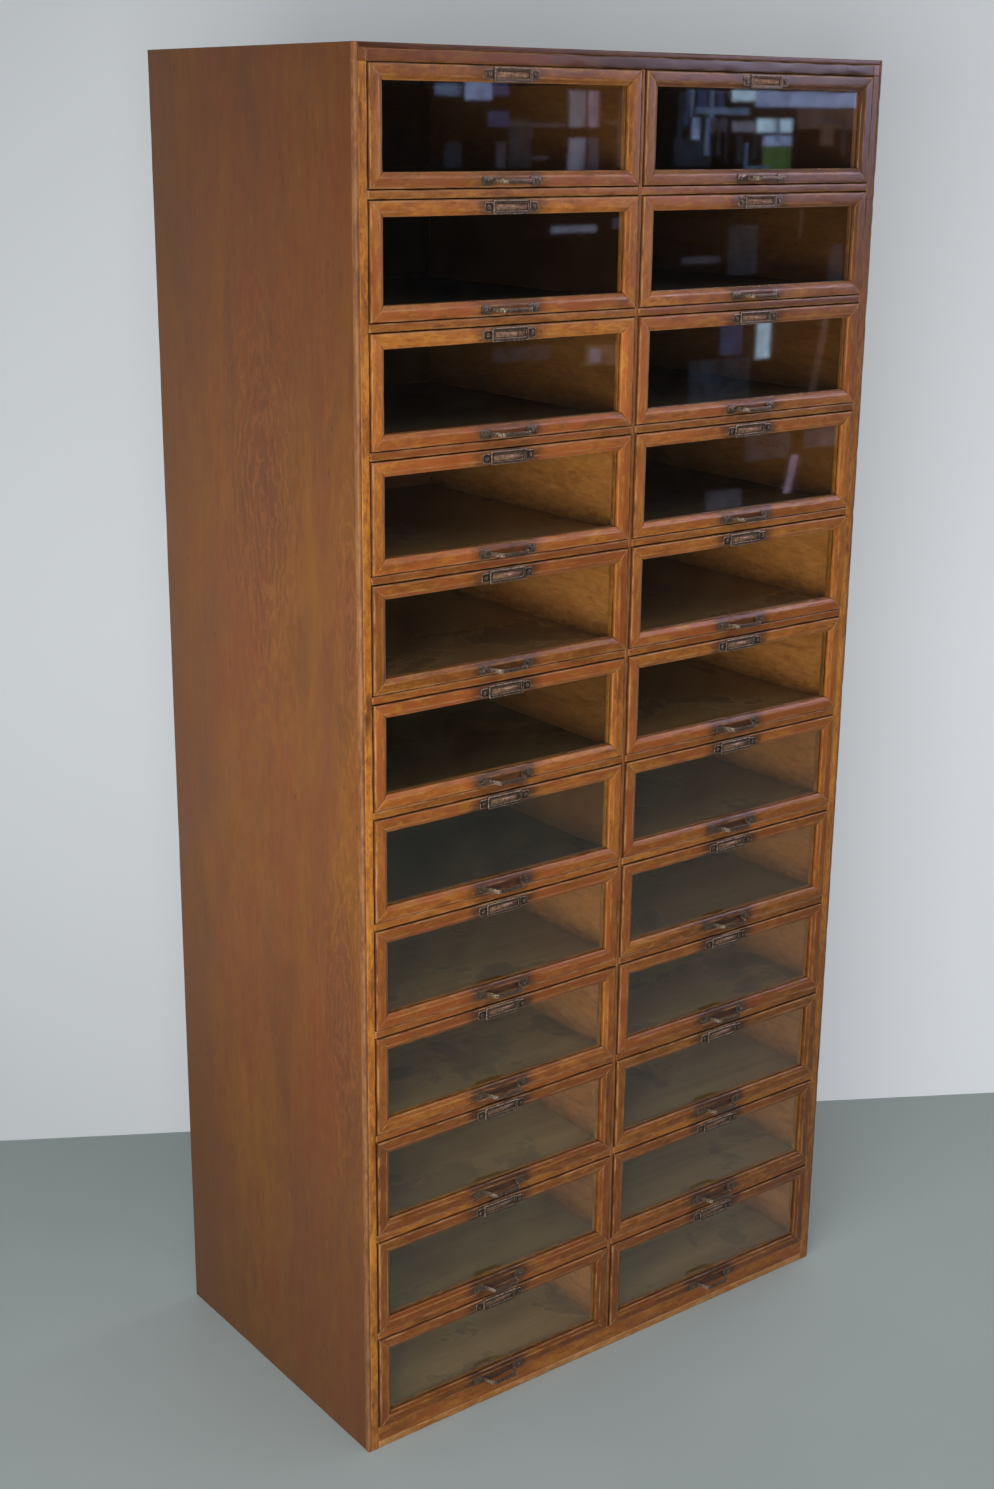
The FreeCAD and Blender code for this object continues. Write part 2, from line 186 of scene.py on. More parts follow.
world = bpy.data.worlds.new("room")
world.use_nodes = True
bpy.context.scene.world = world
tree = world.node_tree
tree.nodes.clear()
rays = node(tree, "LightPath").outputs
looked_at = worked_out(tree, "MAXIMUM", rays["Is Camera Ray"], rays["Is Glossy Ray"])
looked_at = worked_out(tree, "MAXIMUM", looked_at, rays["Is Transmission Ray"])
room_level = between(tree, looked_at, 0, 1, ROOM_LEVEL, ROOM_SEEN)
ambient = node(tree, "Background", {"Color": ROOM_LIGHT, "Strength": room_level})
node(tree, "OutputWorld", {"Surface": ambient.outputs[0]})

# What a lamp takes for each square metre of its face to be as bright as white.
WHITE_WATTS = 4


def soft_box(name, place, aim, width, height, level):
    """A rectangular lamp; its level is the brightness of its face, where 1 is white."""
    lamp = bpy.data.lights.new(name, "AREA")
    lamp.shape = "RECTANGLE"
    lamp.size, lamp.size_y = width, height
    lamp.energy = level * width * height * WHITE_WATTS
    box = bpy.data.objects.new(name, lamp)
    bpy.context.scene.collection.objects.link(box)
    turned = (Vector(aim) - Vector(place)).to_track_quat("-Z", "Y").to_matrix().to_4x4()
    box.matrix_world = Matrix.Translation(place) @ turned
    box.visible_camera = False
    return box


soft_box("overhead_box", (0.2, -1.8, 4.1), (0.2, -0.8, 0.0), 4.0, 3.0, 0.62)
left_box = soft_box("left_box", (-2.05, -0.6, 1.15), (-0.475, 0, 1.1), 1.1, 0.9, 2.2)
front_box = soft_box("front_box", (-2.5, -2.4, 1.35), (0, -0.26, 1.1), 2.0, 1.6, 3.4)
right_box = soft_box("right_box", (2.3, 0.3, 1.5), (0.475, 0, 1.1), 0.9, 0.9, 1.0)
for box, opening in ((left_box, 120), (front_box, 120), (right_box, 70)):
    box.visible_glossy = False
    box.data.spread = math.radians(opening)

EYE = (-1.9122, -2.4560, 1.9561)
TURN, DIP, LEAN = (math.radians(angle) for angle in (37.237, 17.276, 0.593))
FILM_WIDTH, LENS = 36, 48.52

camera = bpy.data.objects.new("camera", bpy.data.cameras.new("camera"))
bpy.context.scene.collection.objects.link(camera)
bpy.context.scene.camera = camera
bpy.context.scene.view_settings.view_transform = "Standard"
camera.data.sensor_width = FILM_WIDTH
camera.data.lens = LENS
camera.matrix_world = (
    Matrix.Translation(EYE) @ Matrix.Rotation(-TURN, 4, "Z")
    @ Matrix.Rotation(math.pi / 2 - DIP, 4, "X") @ Matrix.Rotation(LEAN, 4, "Z")
)


# Windows across the room ------------------------------------------------------------------------
# The far side of the room is dark, with high windows and pale things on its shelves. None of it
# lights the cabinet: it is only what the panes and the polish mirror.

def mirrored_only(sheet):
    """Leaves a sheet to be seen in reflections and nowhere else."""
    sheet.visible_camera = False
    sheet.visible_diffuse = False
    sheet.visible_shadow = False
    sheet.visible_transmission = False


FAR_SIDE = -2.7
FIRST_LAYER, LAYER = 0.01, 0.001
DULLER_PART = 0.45


def seen_far_off(name, left, right, low, high, glow, lean=0.0, nearer=0.0):
    """A patch of the room's far side between two heights, as bright as its glow."""
    y = FAR_SIDE + nearer
    patch = flat_sheet(name, [
        (left, y, low), (right, y, low), (right + lean, y, high), (left + lean, y, high),
    ])
    mirrored_only(patch)
    look, tree = blank_finish(name)
    place = node(tree, "NewGeometry").outputs["Position"]
    cloud = between(tree, mottled(tree, place, (24, 9, 14), detail=5, roughness=0.7), 0.36, 0.62)
    colour = blended(tree, cloud, (*(DULLER_PART * part for part in glow), 1), (*glow, 1))
    surface(tree, node(tree, "Emission", {"Color": colour, "Strength": 1.0}).outputs[0])
    patch.data.materials.append(look)


GLARE, SKY, BLIND = (3.4, 5.0, 6.4), (1.9, 2.5, 4.4), (1.3, 1.4, 2.0)
HAZE, NAVY, SHADE = (0.75, 1.15, 2.0), (0.25, 0.38, 0.95), (0.38, 0.38, 0.55)
LILAC, MURK = (1.8, 1.4, 2.1), (0.55, 0.38, 0.36)
LEAVES, DUSK = (0.38, 0.78, 0.30), (0.14, 0.19, 0.28)
DARK_WALL, HIGH_WINDOWS = (0.035, 0.033, 0.040), (13.5, 12.5, 18.0)

# Each thing's left, right, lower and upper edge on the far side of the room, and how it glows.
SEEN_IN_TOP_ROW = (
    (1.38, 1.47, 2.02, 2.05, HAZE), (1.48, 1.57, 2.01, 2.06, SKY), (1.57, 1.63, 2.02, 2.06, NAVY),
    (1.56, 1.63, 1.94, 1.98, NAVY), (1.59, 1.62, 1.83, 1.90, SHADE), (1.63, 1.71, 1.83, 1.96, DUSK),
    (1.63, 1.83, 1.94, 1.95, SHADE), (1.71, 1.77, 1.85, 1.86, SHADE), (1.84, 1.90, 1.94, 2.04, BLIND),
    (1.91, 1.95, 1.94, 2.04, LILAC), (1.84, 1.90, 1.82, 1.91, BLIND), (1.91, 1.95, 1.82, 1.91, SHADE),
    (1.97, 2.07, 1.95, 1.96, MURK), (2.02, 2.04, 1.83, 2.04, MURK), (1.40, 1.46, 1.83, 1.90, DUSK),
    (2.28, 2.31, 2.00, 2.05, SHADE), (2.32, 2.36, 2.00, 2.05, NAVY), (2.37, 2.39, 1.97, 2.05, HAZE),
    (2.40, 2.43, 2.00, 2.05, NAVY), (2.31, 2.53, 1.98, 2.00, HAZE), (2.30, 2.33, 1.91, 1.97, SKY),
    (2.26, 2.29, 1.94, 1.99, DUSK), (2.37, 2.40, 1.93, 1.97, SHADE), (2.41, 2.44, 1.93, 1.97, SHADE),
    (2.46, 2.55, 1.93, 1.96, BLIND), (2.56, 2.71, 1.93, 1.97, GLARE), (2.59, 2.71, 1.89, 1.92, SKY),
    (2.59, 2.71, 1.81, 1.89, LEAVES), (2.45, 2.57, 2.02, 2.05, GLARE), (2.55, 2.99, 2.005, 2.05, SKY),
    (2.73, 3.01, 1.94, 2.00, MURK), (2.99, 3.02, 1.81, 1.94, LILAC), (2.99, 3.02, 2.00, 2.05, LILAC),
    (2.83, 2.89, 1.89, 1.96, MURK), (2.22, 2.37, 1.83, 1.91, DUSK), (2.51, 2.61, 1.82, 1.83, HAZE),
    (2.34, 2.36, 1.86, 1.97, HAZE), (2.39, 2.40, 1.86, 1.96, SHADE), (2.42, 2.43, 1.84, 1.93, DUSK),
    (2.47, 2.49, 1.84, 1.92, DUSK), (2.50, 2.51, 1.83, 1.90, HAZE), (2.53, 2.55, 1.85, 1.92, DUSK),
    (2.27, 2.28, 1.97, 2.05, HAZE), (2.25, 2.26, 1.95, 2.05, NAVY), (2.79, 2.90, 1.955, 1.97, SHADE),
    (2.91, 2.93, 1.86, 1.97, DUSK), (2.62, 2.64, 1.90, 1.97, HAZE), (2.22, 2.24, 1.88, 2.04, DUSK),
)
SEEN_LOWER = (
    (1.75, 1.92, 1.65, 1.67, BLIND), (1.98, 2.07, 1.66, 1.69, SHADE), (2.25, 2.41, 1.55, 1.57, SHADE),
    (2.44, 2.56, 1.51, 1.66, DUSK), (2.74, 2.75, 1.62, 1.70, MURK), (2.88, 2.94, 1.46, 1.59, DUSK),
    (1.88, 2.03, 1.27, 1.33, MURK), (1.90, 1.94, 1.28, 1.32, BLIND), (1.54, 1.75, 1.30, 1.34, DUSK),
    (2.42, 2.51, 1.27, 1.36, NAVY), (2.57, 2.63, 1.25, 1.36, GLARE), (2.29, 2.55, 1.10, 1.26, DUSK),
    (2.80, 3.02, 0.95, 1.01, SHADE), (2.54, 2.74, 0.93, 1.01, DUSK), (2.38, 2.53, 0.79, 0.85, SHADE),
)
seen_far_off("far_side", -5.5, 5.5, 0, 3.2, DARK_WALL)
seen_far_off("high_windows", 2.05, 4.4, 2.12, 3.1, HIGH_WINDOWS, nearer=FIRST_LAYER)
for number, seen in enumerate(SEEN_IN_TOP_ROW + SEEN_LOWER):
    seen_far_off(f"seen_far_off_{number}", *seen, nearer=FIRST_LAYER + LAYER * number)
seen_far_off("leaning_pole", 2.77, 2.80, 1.10, 1.38, MURK, lean=0.06, nearer=0.1)
seen_far_off("leaning_board", 2.69, 2.72, 0.82, 0.94, LILAC, lean=0.03, nearer=0.1)


# Side panels ------------------------------------------------------------------------------------
# Each side is a board of glued-up core with a leaf of figured veneer on its face, reddish brown and
# satin varnished. The core is rebated for the back; the leaf runs on past the top and the bottom.

WEAR_REACH = 0.0018
CAP_INSET = 0.0006
ROUND_THAT_SHOWS = 0.0015
MOST_OF_A_FACE = 0.45


def softened(corners, arris):
    """A section with a small round on each corner, as (first, second, wear) points.

    The wear is below zero in a hollow corner, where nothing rubs it."""
    count = len(corners)
    area = sum(
        corners[i - 1][0] * corners[i][1] - corners[i][0] * corners[i - 1][1] for i in range(count)
    )
    turning = 1 if area > 0 else -1
    points = []
    for i in range(count):
        before, here, after = (Vector(corners[(i + n) % count][:2]) for n in (-1, 0, 1))
        radius = corners[i][2] if len(corners[i]) > 2 else arris
        back, on = before - here, after - here
        room = MOST_OF_A_FACE * min(back.length, on.length)
        radius = min(radius, room)
        reach = min(radius + WEAR_REACH, room)
        outward = (on.x * back.y - on.y * back.x) * turning > 0
        back.normalize()
        on.normalize()
        steps = 4 if radius > ROUND_THAT_SHOWS else 2
        if reach > radius:
            points.append((*(here + back * reach), 0.0))
        for step in range(steps + 1):
            s = step / steps
            spot = here + back * radius * (1 - s) ** 2 + on * radius * s ** 2
            worn = 1.0 - 0.5 * abs(2 * s - 1)
            points.append((*spot, worn if outward else -worn))
        if reach > radius:
            points.append((*(here + on * reach), 0.0))
    if turning < 0:
        points.reverse()
    return points


def filled_in(points, pitch):
    """The same section with points added where two are further apart than the pitch."""
    filled = []
    for i, point in enumerate(points):
        after = points[(i + 1) % len(points)]
        gap = math.dist(point[:2], after[:2])
        parts = max(1, math.ceil(gap / pitch))
        for part in range(parts):
            s = part / parts
            filled.append(tuple(a + (b - a) * s for a, b in zip(point, after)))
    return filled


def outward_normals(points):
    """The direction out of a section at each of its points."""
    normals = []
    for i in range(len(points)):
        before, after = Vector(points[i - 1][:2]), Vector(points[(i + 1) % len(points)][:2])
        along = after - before
        normals.append(Vector((along.y, -along.x)).normalized())
    return normals


def own_grain():
    """Where in the endless grain a board was sawn out."""
    return Vector(shop.uniform(-40, 40) for _ in range(3))


KNOCK_PITCH, KNOCK_START, KNOCK_DEPTH = 45, 0.1, 4
KNOCKED_FROM, EVEN_WEAR = 0.3, 0.35
SWAY_ALONG, SWAY_ACROSS = 3, 5


class Workpiece:
    """The boards of one piece, gathered into one mesh.

    Each point also keeps its place in its own board, which the grain follows, and how light, warm,
    worn, soiled and painted with shade its finish is there."""

    def __init__(self, name):
        self.name = name
        self.points, self.faces, self.grain, self.finish, self.soil = [], [], [], [], []
        self.skins = []

    def point(self, place, grain, finish, soil=0.0):
        """Adds a point and returns its number."""
        self.points.append(place)
        self.grain.append(grain)
        self.finish.append(finish)
        self.soil.append(soil)
        return len(self.points) - 1

    def loops(self, loops, skin=0):
        """Skins a row of closed loops of (place, grain, finish, soil and shade) points and closes its
        ends.
        """
        first, size = len(self.points), len(loops[0])
        for point in (point for loop in loops for point in loop):
            self.point(*point)
        start = len(self.faces)
        for row in range(len(loops) - 1):
            here, there = first + row * size, first + (row + 1) * size
            for i in range(size):
                j = (i + 1) % size
                self.faces.append((here + i, here + j, there + j, there + i))
        last = first + (len(loops) - 1) * size
        self.faces.append(tuple(reversed(range(first, first + size))))
        self.faces.append(tuple(range(last, last + size)))
        self.skins += [skin] * (len(self.faces) - start)

    def stick(self, axis, low, high, corners, arris=0.0006, pitch=0.03, cross_pitch=1.0,
              mitre=None, tone=1.0, warmth=0.0, wear=1.0, nick=0.0002, sway=0.0, soil=None, skin=0):
        """A length of wood along an axis, from low to high, with the section given by its corners.

        The corners are places on the two other axes, in their order, each with its own round if it
        has a third number. A mitre gives how far in from its end the stick starts at a place in the
        section. Nick is how deep its edges are knocked, and sway how far its faces are from flat.
        The soil and painted shade, and the tone too if it isn't even, are worked out for each place."""
        axis = "XYZ".index(axis)
        first, second = [n for n in range(3) if n != axis]
        section = filled_in(softened(corners, arris), cross_pitch)
        if axis == 1:
            section.reverse()
        normals = outward_normals(section)
        if axis == 1:
            normals = [-n for n in normals]
        thickness = min(
            max(p[k] for p in section) - min(p[k] for p in section) for k in (0, 1)
        )
        inset = min(CAP_INSET, thickness / 8)
        bend = min(arris, thickness / 6)
        length = high - low
        # Over each end: how far in a loop lies, how much it is drawn in, and how worn it is.
        ends = [(0.0, bend + inset, 0.0), (0.0, bend, 0.4), (bend * 0.3, bend * 0.3, 1.0),
                (bend, 0.0, 0.6), (bend + WEAR_REACH, 0.0, 0.0)]
        steps = max(1, round((length - 2 * ends[-1][0]) / pitch))
        rows = [(0, *end) for end in ends]
        rows += [(step / steps, ends[-1][0], 0.0, 0.0) for step in range(1, steps)]
        rows += [(1, *end) for end in reversed(ends)]
        away = own_grain()
        loops = []
        for share, inwards, shrink, end_wear in rows:
            loop = []
            for (a, b, edge), out in zip(section, normals):
                cut = mitre(a, b) if mitre else 0.0
                at = low + cut + inwards + share * (length - 2 * (cut + inwards))
                worn = max(abs(edge), end_wear)
                dent = 0.0
                if nick and worn > KNOCKED_FROM:
                    spot = Vector((at * KNOCK_PITCH, a * KNOCK_PITCH, b * KNOCK_PITCH))
                    knock = max(0.0, noise.noise(spot + away) - KNOCK_START) * KNOCK_DEPTH
                    dent = nick * worn * (EVEN_WEAR + knock)
                if sway:
                    spot = Vector((at * SWAY_ALONG, a * SWAY_ACROSS, b * SWAY_ACROSS))
                    dent += sway * (0.5 + 0.5 * noise.noise(spot + away))
                a2, b2 = a - out.x * (shrink + dent), b - out.y * (shrink + dent)
                place = Vector((0, 0, 0))
                place[axis], place[first], place[second] = at, a2, b2
                grain = Vector((at, a2, b2)) + away
                soil_and_shade_here = soil(place) if soil else 0.0
                if edge < 0:
                    worn = 0.0
                lightness = tone(place) if callable(tone) else tone
                loop.append((place, grain, (lightness, warmth, worn * wear), soil_and_shade_here))
            loops.append(loop)
        self.loops(loops, skin=skin)

    def board(self, axis, low, high, **details):
        """A plain sawn board between two opposite corners, its grain along an axis."""
        along = "XYZ".index(axis)
        (a0, a1), (b0, b1) = ((low[n], high[n]) for n in range(3) if n != along)
        corners = [(a0, b0), (a1, b0), (a1, b1), (a0, b1)]
        self.stick(axis, low[along], high[along], corners, **details)

    def fit(self, body, slot, finishes, *nodes):
        """Makes the object, gives it its finishes and fastens it to its body in place of nodes."""
        mesh = bpy.data.meshes.new(self.name)
        mesh.from_pydata(self.points, [], self.faces)
        for name, kind, values in (
            ("grain", "FLOAT_VECTOR", self.grain), ("finish", "FLOAT_VECTOR", self.finish),
            ("soil", "FLOAT", self.soil),
        ):
            layer = mesh.attributes.new(name, kind, "POINT")
            if kind == "FLOAT":
                layer.data.foreach_set("value", values)
            else:
                layer.data.foreach_set("vector", [number for value in values for number in value])
        for finish in finishes:
            mesh.materials.append(finish)
        mesh.polygons.foreach_set("material_index", self.skins)
        mesh.polygons.foreach_set("use_smooth", [True] * len(self.faces))
        mesh.validate()
        mesh.update()
        made = bpy.data.objects.new(self.name, mesh)
        bpy.context.scene.collection.objects.link(made)
        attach(made, body)
        if nodes:
            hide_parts(*nodes)
        return made


def board_look(tree):
    """What a board's points keep: place in the board, lightness, warmth, wear, and soil and shade."""
    grain = node(tree, "Attribute", attribute_name="grain").outputs["Vector"]
    kept = node(tree, "Attribute", attribute_name="finish").outputs["Vector"]
    tone, warmth, worn = node(tree, "SeparateXYZ", {0: kept}).outputs
    soil = node(tree, "Attribute", attribute_name="soil").outputs["Fac"]
    return grain, tone, warmth, worn, soil


def lightened(tree, colour, tone):
    """A colour made lighter or darker by a tone, where 1 leaves it as it is."""
    grey = node(tree, "CombineColor", {0: tone, 1: tone, 2: tone}).outputs[0]
    return blended(tree, 1.0, colour, grey, "MULTIPLY")


def varied(tree, colour, cloud, start, full, least, most):
    """A colour made lighter or darker as a cloud passes from start to full."""
    return lightened(tree, colour, between(tree, cloud, start, full, least, most))


VENEER_BROWN = (0.146, 0.051, 0.015, 1)
VENEER_GOLD = (0.182, 0.071, 0.013, 1)
VENEER_RED = (0.160, 0.046, 0.014, 1)
VENEER_SHADE = (0.100, 0.040, 0.015, 1)
VENEER_HEART = (0.122, 0.043, 0.018, 1)
VENEER_WORN = (0.220, 0.110, 0.050, 1)
VENEER_NICK = (0.050, 0.022, 0.012, 1)
HEART_RINGS, RING_WANDER = 31.0, 22.0
# Each oval's middle from front to back, its height, and half its length and width.
HEART_OVALS = (
    (-0.012, 1.43, 0.25, 0.075), (-0.205, 0.72, 0.24, 0.052), (-0.235, 1.28, 0.18, 0.034),
)
PALE_FLAME = (-0.135, 1.36, 0.26, 0.022)


def oval_distance(tree, depth, up, oval):
    """How far out from the middle of a tall oval each place is: 1 on its outline."""
    middle, height, half_length, half_width = oval
    up = worked_out(tree, "DIVIDE", worked_out(tree, "SUBTRACT", up, height), half_length)
    across = worked_out(tree, "SUBTRACT", depth, middle)
    across = worked_out(tree, "DIVIDE", across, half_width)
    flat = node(tree, "CombineXYZ", {0: up, 1: across}).outputs[0]
    return node(tree, "VectorMath", {0: flat}, operation="LENGTH").outputs["Value"]


def figured_veneer():
    """Flat-cut veneer: faint nested ovals where the knife met the heart, soft streaks elsewhere."""
    finish, tree = blank_finish("figured_veneer")
    grain, tone, _, worn, _ = board_look(tree)
    _, depth, up = place_in_room(tree)
    waver = between(tree, mottled(tree, grain, (4, 12, 12), detail=5), 0.2, 0.8, -0.024, 0.024)
    wavering = worked_out(tree, "ADD", depth, waver)
    ripple = mottled(tree, grain, (26, 60, 60), detail=4, roughness=0.6)
    mottle = mottled(tree, grain, (15, 44, 44), detail=6, roughness=0.68, distortion=0.6)
    broad = mottled(tree, grain, (1.8, 6, 6), detail=6, roughness=0.62, distortion=0.8)
    tint = mottled(tree, grain, (3.5, 14, 14), detail=5, roughness=0.62, distortion=0.6)
    speckle = mottled(tree, grain, (44, 120, 120), detail=5, roughness=0.7, distortion=0.5)
    streaks = mottled(tree, grain, (7, 80, 80), detail=4, roughness=0.6, distortion=0.4)
    fibre = mottled(tree, grain, (26, 420, 420), detail=3, roughness=0.6)
    colour = tinged(tree, VENEER_BROWN, VENEER_GOLD, broad, 0.38, 0.64)
    colour = tinged(tree, colour, VENEER_RED, tint, 0.50, 0.66, 0.8)
    colour = tinged(tree, colour, VENEER_SHADE, tint, 0.47, 0.34, 0.5)
    colour = tinged(tree, colour, VENEER_RED, mottle, 0.50, 0.68, 0.55)
    colour = varied(tree, colour, mottle, 0.3, 0.7, 1.08, 0.92)
    colour = tinged(tree, colour, VENEER_HEART, speckle, 0.52, 0.66, 0.45)
    colour = tinged(tree, colour, VENEER_GOLD, speckle, 0.46, 0.34, 0.45)
    raised = fibre
    for oval in HEART_OVALS:
        far = oval_distance(tree, wavering, up, oval)
        colour = tinged(tree, colour, VENEER_HEART, far, 0.9, 0.3, 0.55)
        rings = worked_out(
            tree, "ADD", times(tree, far, HEART_RINGS), times(tree, ripple, RING_WANDER))
        ring = node(tree, "Math", {0: rings}, operation="SINE").outputs[0]
        near = between(tree, far, 1.8, 0.6, 0, 0.22)
        line = times(tree, between(tree, ring, 0.0, 1.0, -0.3, 1.0), near)
        colour = lightened(tree, colour, worked_out(tree, "ADD", line, 1.0))
        raised = worked_out(tree, "ADD", raised, line)
    flame = oval_distance(tree, wavering, up, PALE_FLAME)
    colour = tinged(tree, colour, VENEER_GOLD, flame, 1.1, 0.1, 0.8)
    colour = varied(tree, colour, streaks, 0.3, 0.7, 0.95, 1.05)
    colour = varied(tree, colour, fibre, 0.25, 0.75, 0.93, 1.07)
    # Painted shade: the leaf is drawn darker towards the top and towards the bottom.
    colour = varied(tree, colour, up, 1.35, 2.0, 1.0, 0.80)
    colour = varied(tree, colour, up, 0.76, 0.1, 1.0, 0.78)
    colour = tinged(tree, colour, VENEER_SHADE, depth, 0.10, 0.28, 0.6)
    nicks = mottled(tree, grain, (50, 110, 110), detail=1)
    colour = tinged(tree, colour, VENEER_NICK, nicks, 0.755, 0.775, 0.5)
    patchy = between(tree, mottled(tree, grain, (30, 90, 90), detail=3), 0.42, 0.6)
    colour = blended(tree, times(tree, worn, patchy), colour, VENEER_WORN)
    colour = lightened(tree, colour, tone)
    gloss = between(tree, broad, 0.3, 0.7, 0.36, 0.46)
    bump = node(tree, "Bump", {"Height": raised, "Strength": 0.10, "Distance": 0.0006})
    surface(tree, node(tree, "BsdfPrincipled", {
        "Base Color": colour, "Roughness": gloss, "Specular IOR Level": 0.25,
        "Normal": bump.outputs[0],
    }).outputs[0])
    return finish


BARE_DARK = (0.060, 0.029, 0.015, 1)
BARE_BODY = (0.118, 0.060, 0.031, 1)
BARE_PALE = (0.190, 0.110, 0.060, 1)
WARM_RED = (0.270, 0.072, 0.016, 1)
BLOOM_AND_PAINTED_SHEEN = (0.138, 0.065, 0.049, 1)
LYING_DUST = (0.150, 0.125, 0.105, 1)


def stained_wood(name, dark, body, pale, rubbed, soiled, red, polish=0.34, flecks=0.6,
                 bloom_and_sheen=0.0, dust=0.0):
    """Open-grained wood, stained and varnished: bands, streaks and short dark flecks along it.

    Red and flecks are how much of each there is. Bloom and sheen is how much of a dull lilac cast
    lies high up on the right, partly varnish bloom and partly painted sheen, and dust how much dust
    lies on what faces up."""
    finish, tree = blank_finish(name)
    grain, tone, warmth, worn, soil = board_look(tree)
    bands = mottled(tree, grain, (7, 40, 40), detail=5, roughness=0.6, distortion=0.6)
    streaks = mottled(tree, grain, (30, 330, 330), detail=3, roughness=0.6)
    patches = mottled(tree, grain, (14, 26, 26), detail=4, roughness=0.6)
    blotches = mottled(tree, grain, (55, 130, 130), detail=4, roughness=0.6, distortion=0.5)
    rouge = mottled(tree, grain, (24, 70, 70), detail=4, roughness=0.6, distortion=0.4)
    fleck = between(tree, mottled(tree, grain, (170, 420, 420), detail=2), 0.60, 0.70)
    colour = tinged(tree, dark, body, bands, 0.28, 0.46)
    colour = tinged(tree, colour, pale, bands, 0.50, 0.66, 0.6)
    colour = tinged(tree, colour, pale, blotches, 0.50, 0.64, 0.6)
    colour = tinged(tree, colour, dark, blotches, 0.46, 0.32, 0.5)
    colour = blended(tree, times(tree, fleck, flecks), colour, dark)
    redness = times(tree, warmth, between(tree, rouge, 0.42, 0.60, red / 3, red * 2))
    colour = blended(tree, redness, colour, WARM_RED)
    colour = varied(tree, colour, streaks, 0.25, 0.75, 0.86, 1.14)
    colour = varied(tree, colour, patches, 0.25, 0.75, 0.86, 1.14)
    colour = lightened(tree, colour, tone)
    # Painted sheen: a dull lilac cast high up on the right, partly varnish bloom.
    if bloom_and_sheen:
        across, _, up = place_in_room(tree)
        dulled_and_sheened = times(tree, between(tree, across, -0.08, 0.30), between(tree, up, 1.50, 1.95))
        dulled_and_sheened = times(tree, dulled_and_sheened, between(tree, rouge, 0.35, 0.60, bloom_and_sheen / 2, bloom_and_sheen))
        colour = blended(tree, dulled_and_sheened, colour, BLOOM_AND_PAINTED_SHEEN)
    # Soil, and painted shade where the points carry it, darken the wood towards its soiled colour.
    grubby_and_shaded = times(tree, soil, between(tree, blotches, 0.66, 0.40, 0.75, 1.0))
    colour = blended(tree, grubby_and_shaded, colour, soiled)
    rub = between(tree, mottled(tree, grain, (28, 160, 160), detail=4, roughness=0.65), 0.40, 0.62)
    colour = blended(tree, times(tree, worn, rub), colour, rubbed)
    gloss = between(tree, patches, 0.25, 0.75, polish - 0.06, polish + 0.10)
    if dust:
        facing = node(tree, "NewGeometry").outputs["Normal"]
        upward = node(tree, "SeparateXYZ", {0: facing}).outputs[2]
        drifts = between(tree, patches, 0.3, 0.7, dust / 2, dust)
        lying = times(tree, between(tree, upward, 0.80, 0.97), drifts)
        colour = blended(tree, lying, colour, LYING_DUST)
        gloss = worked_out(tree, "ADD", gloss, between(tree, lying, 0, 0.5, 0, 0.45))
    raised = worked_out(tree, "SUBTRACT", streaks, times(tree, fleck, 0.8))
    bump = node(tree, "Bump", {"Height": raised, "Strength": 0.16, "Distance": 0.0006})
    surface(tree, node(tree, "BsdfPrincipled", {
        "Base Color": colour, "Roughness": gloss, "Specular IOR Level": 0.29,
        "Normal": bump.outputs[0],
    }).outputs[0])
    return finish


veneer = figured_veneer()
bare_wood = stained_wood(
    "aged_bare_wood", BARE_DARK, BARE_BODY, BARE_PALE, BARE_PALE, BARE_DARK, polish=0.62, red=0.1)

LEAF = 0.0055
BACK_REBATE = 0.010
BACK_THICKNESS = 0.006
TOP_BOARD, BOTTOM_BOARD = 0.007, 0.012

for side, sign in (("left", -1), ("right", 1)):
    name = f"{side}_side_panel"
    low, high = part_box(name)
    outer, inner = (low.x, high.x) if sign < 0 else (high.x, low.x)
    glue_line = outer - sign * LEAF
    rebate = inner + sign * BACK_REBATE
    panel = Workpiece(f"{side}_side")
    panel.stick(
        "Z", low.z, high.z,
        [(outer, low.y), (glue_line, low.y), (glue_line, high.y), (outer, high.y)],
        arris=0.0008, pitch=0.04, cross_pitch=0.045, wear=0.25, nick=0.0004, sway=0.0004,
    )
    panel.stick(
        "Z", low.z + BOTTOM_BOARD, high.z - TOP_BOARD,
        [(glue_line, low.y), (inner, low.y), (inner, high.y - BACK_THICKNESS),
         (rebate, high.y - BACK_THICKNESS), (rebate, high.y), (glue_line, high.y)],
        pitch=0.1, tone=0.95, wear=0.3, skin=1,
    )
    panel.fit("carcass", "side_veneer", [veneer, bare_wood], name)


# Lippings, stiles and corner blocks -------------------------------------------------------------
# A thin lipping with a rounded outer corner covers each front edge of the carcass, and a stile of
# the front's own wood is glued inside it. A darker block closes the corner under the top board.

LIPPING_ROUND = 0.004
FRONT_DARK = (0.105, 0.034, 0.010, 1)
FRONT_BODY = (0.272, 0.091, 0.014, 1)
FRONT_PALE = (0.430, 0.173, 0.026, 1)
FRONT_RUBBED = (0.420, 0.210, 0.085, 1)
# The colour that soil and painted shade darken the front wood towards.
FRONT_SOILED_AND_SHADED = (0.050, 0.021, 0.012, 1)
LIPPING_BODY = (0.190, 0.080, 0.034, 1)
LIPPING_PALE = (0.330, 0.152, 0.052, 1)

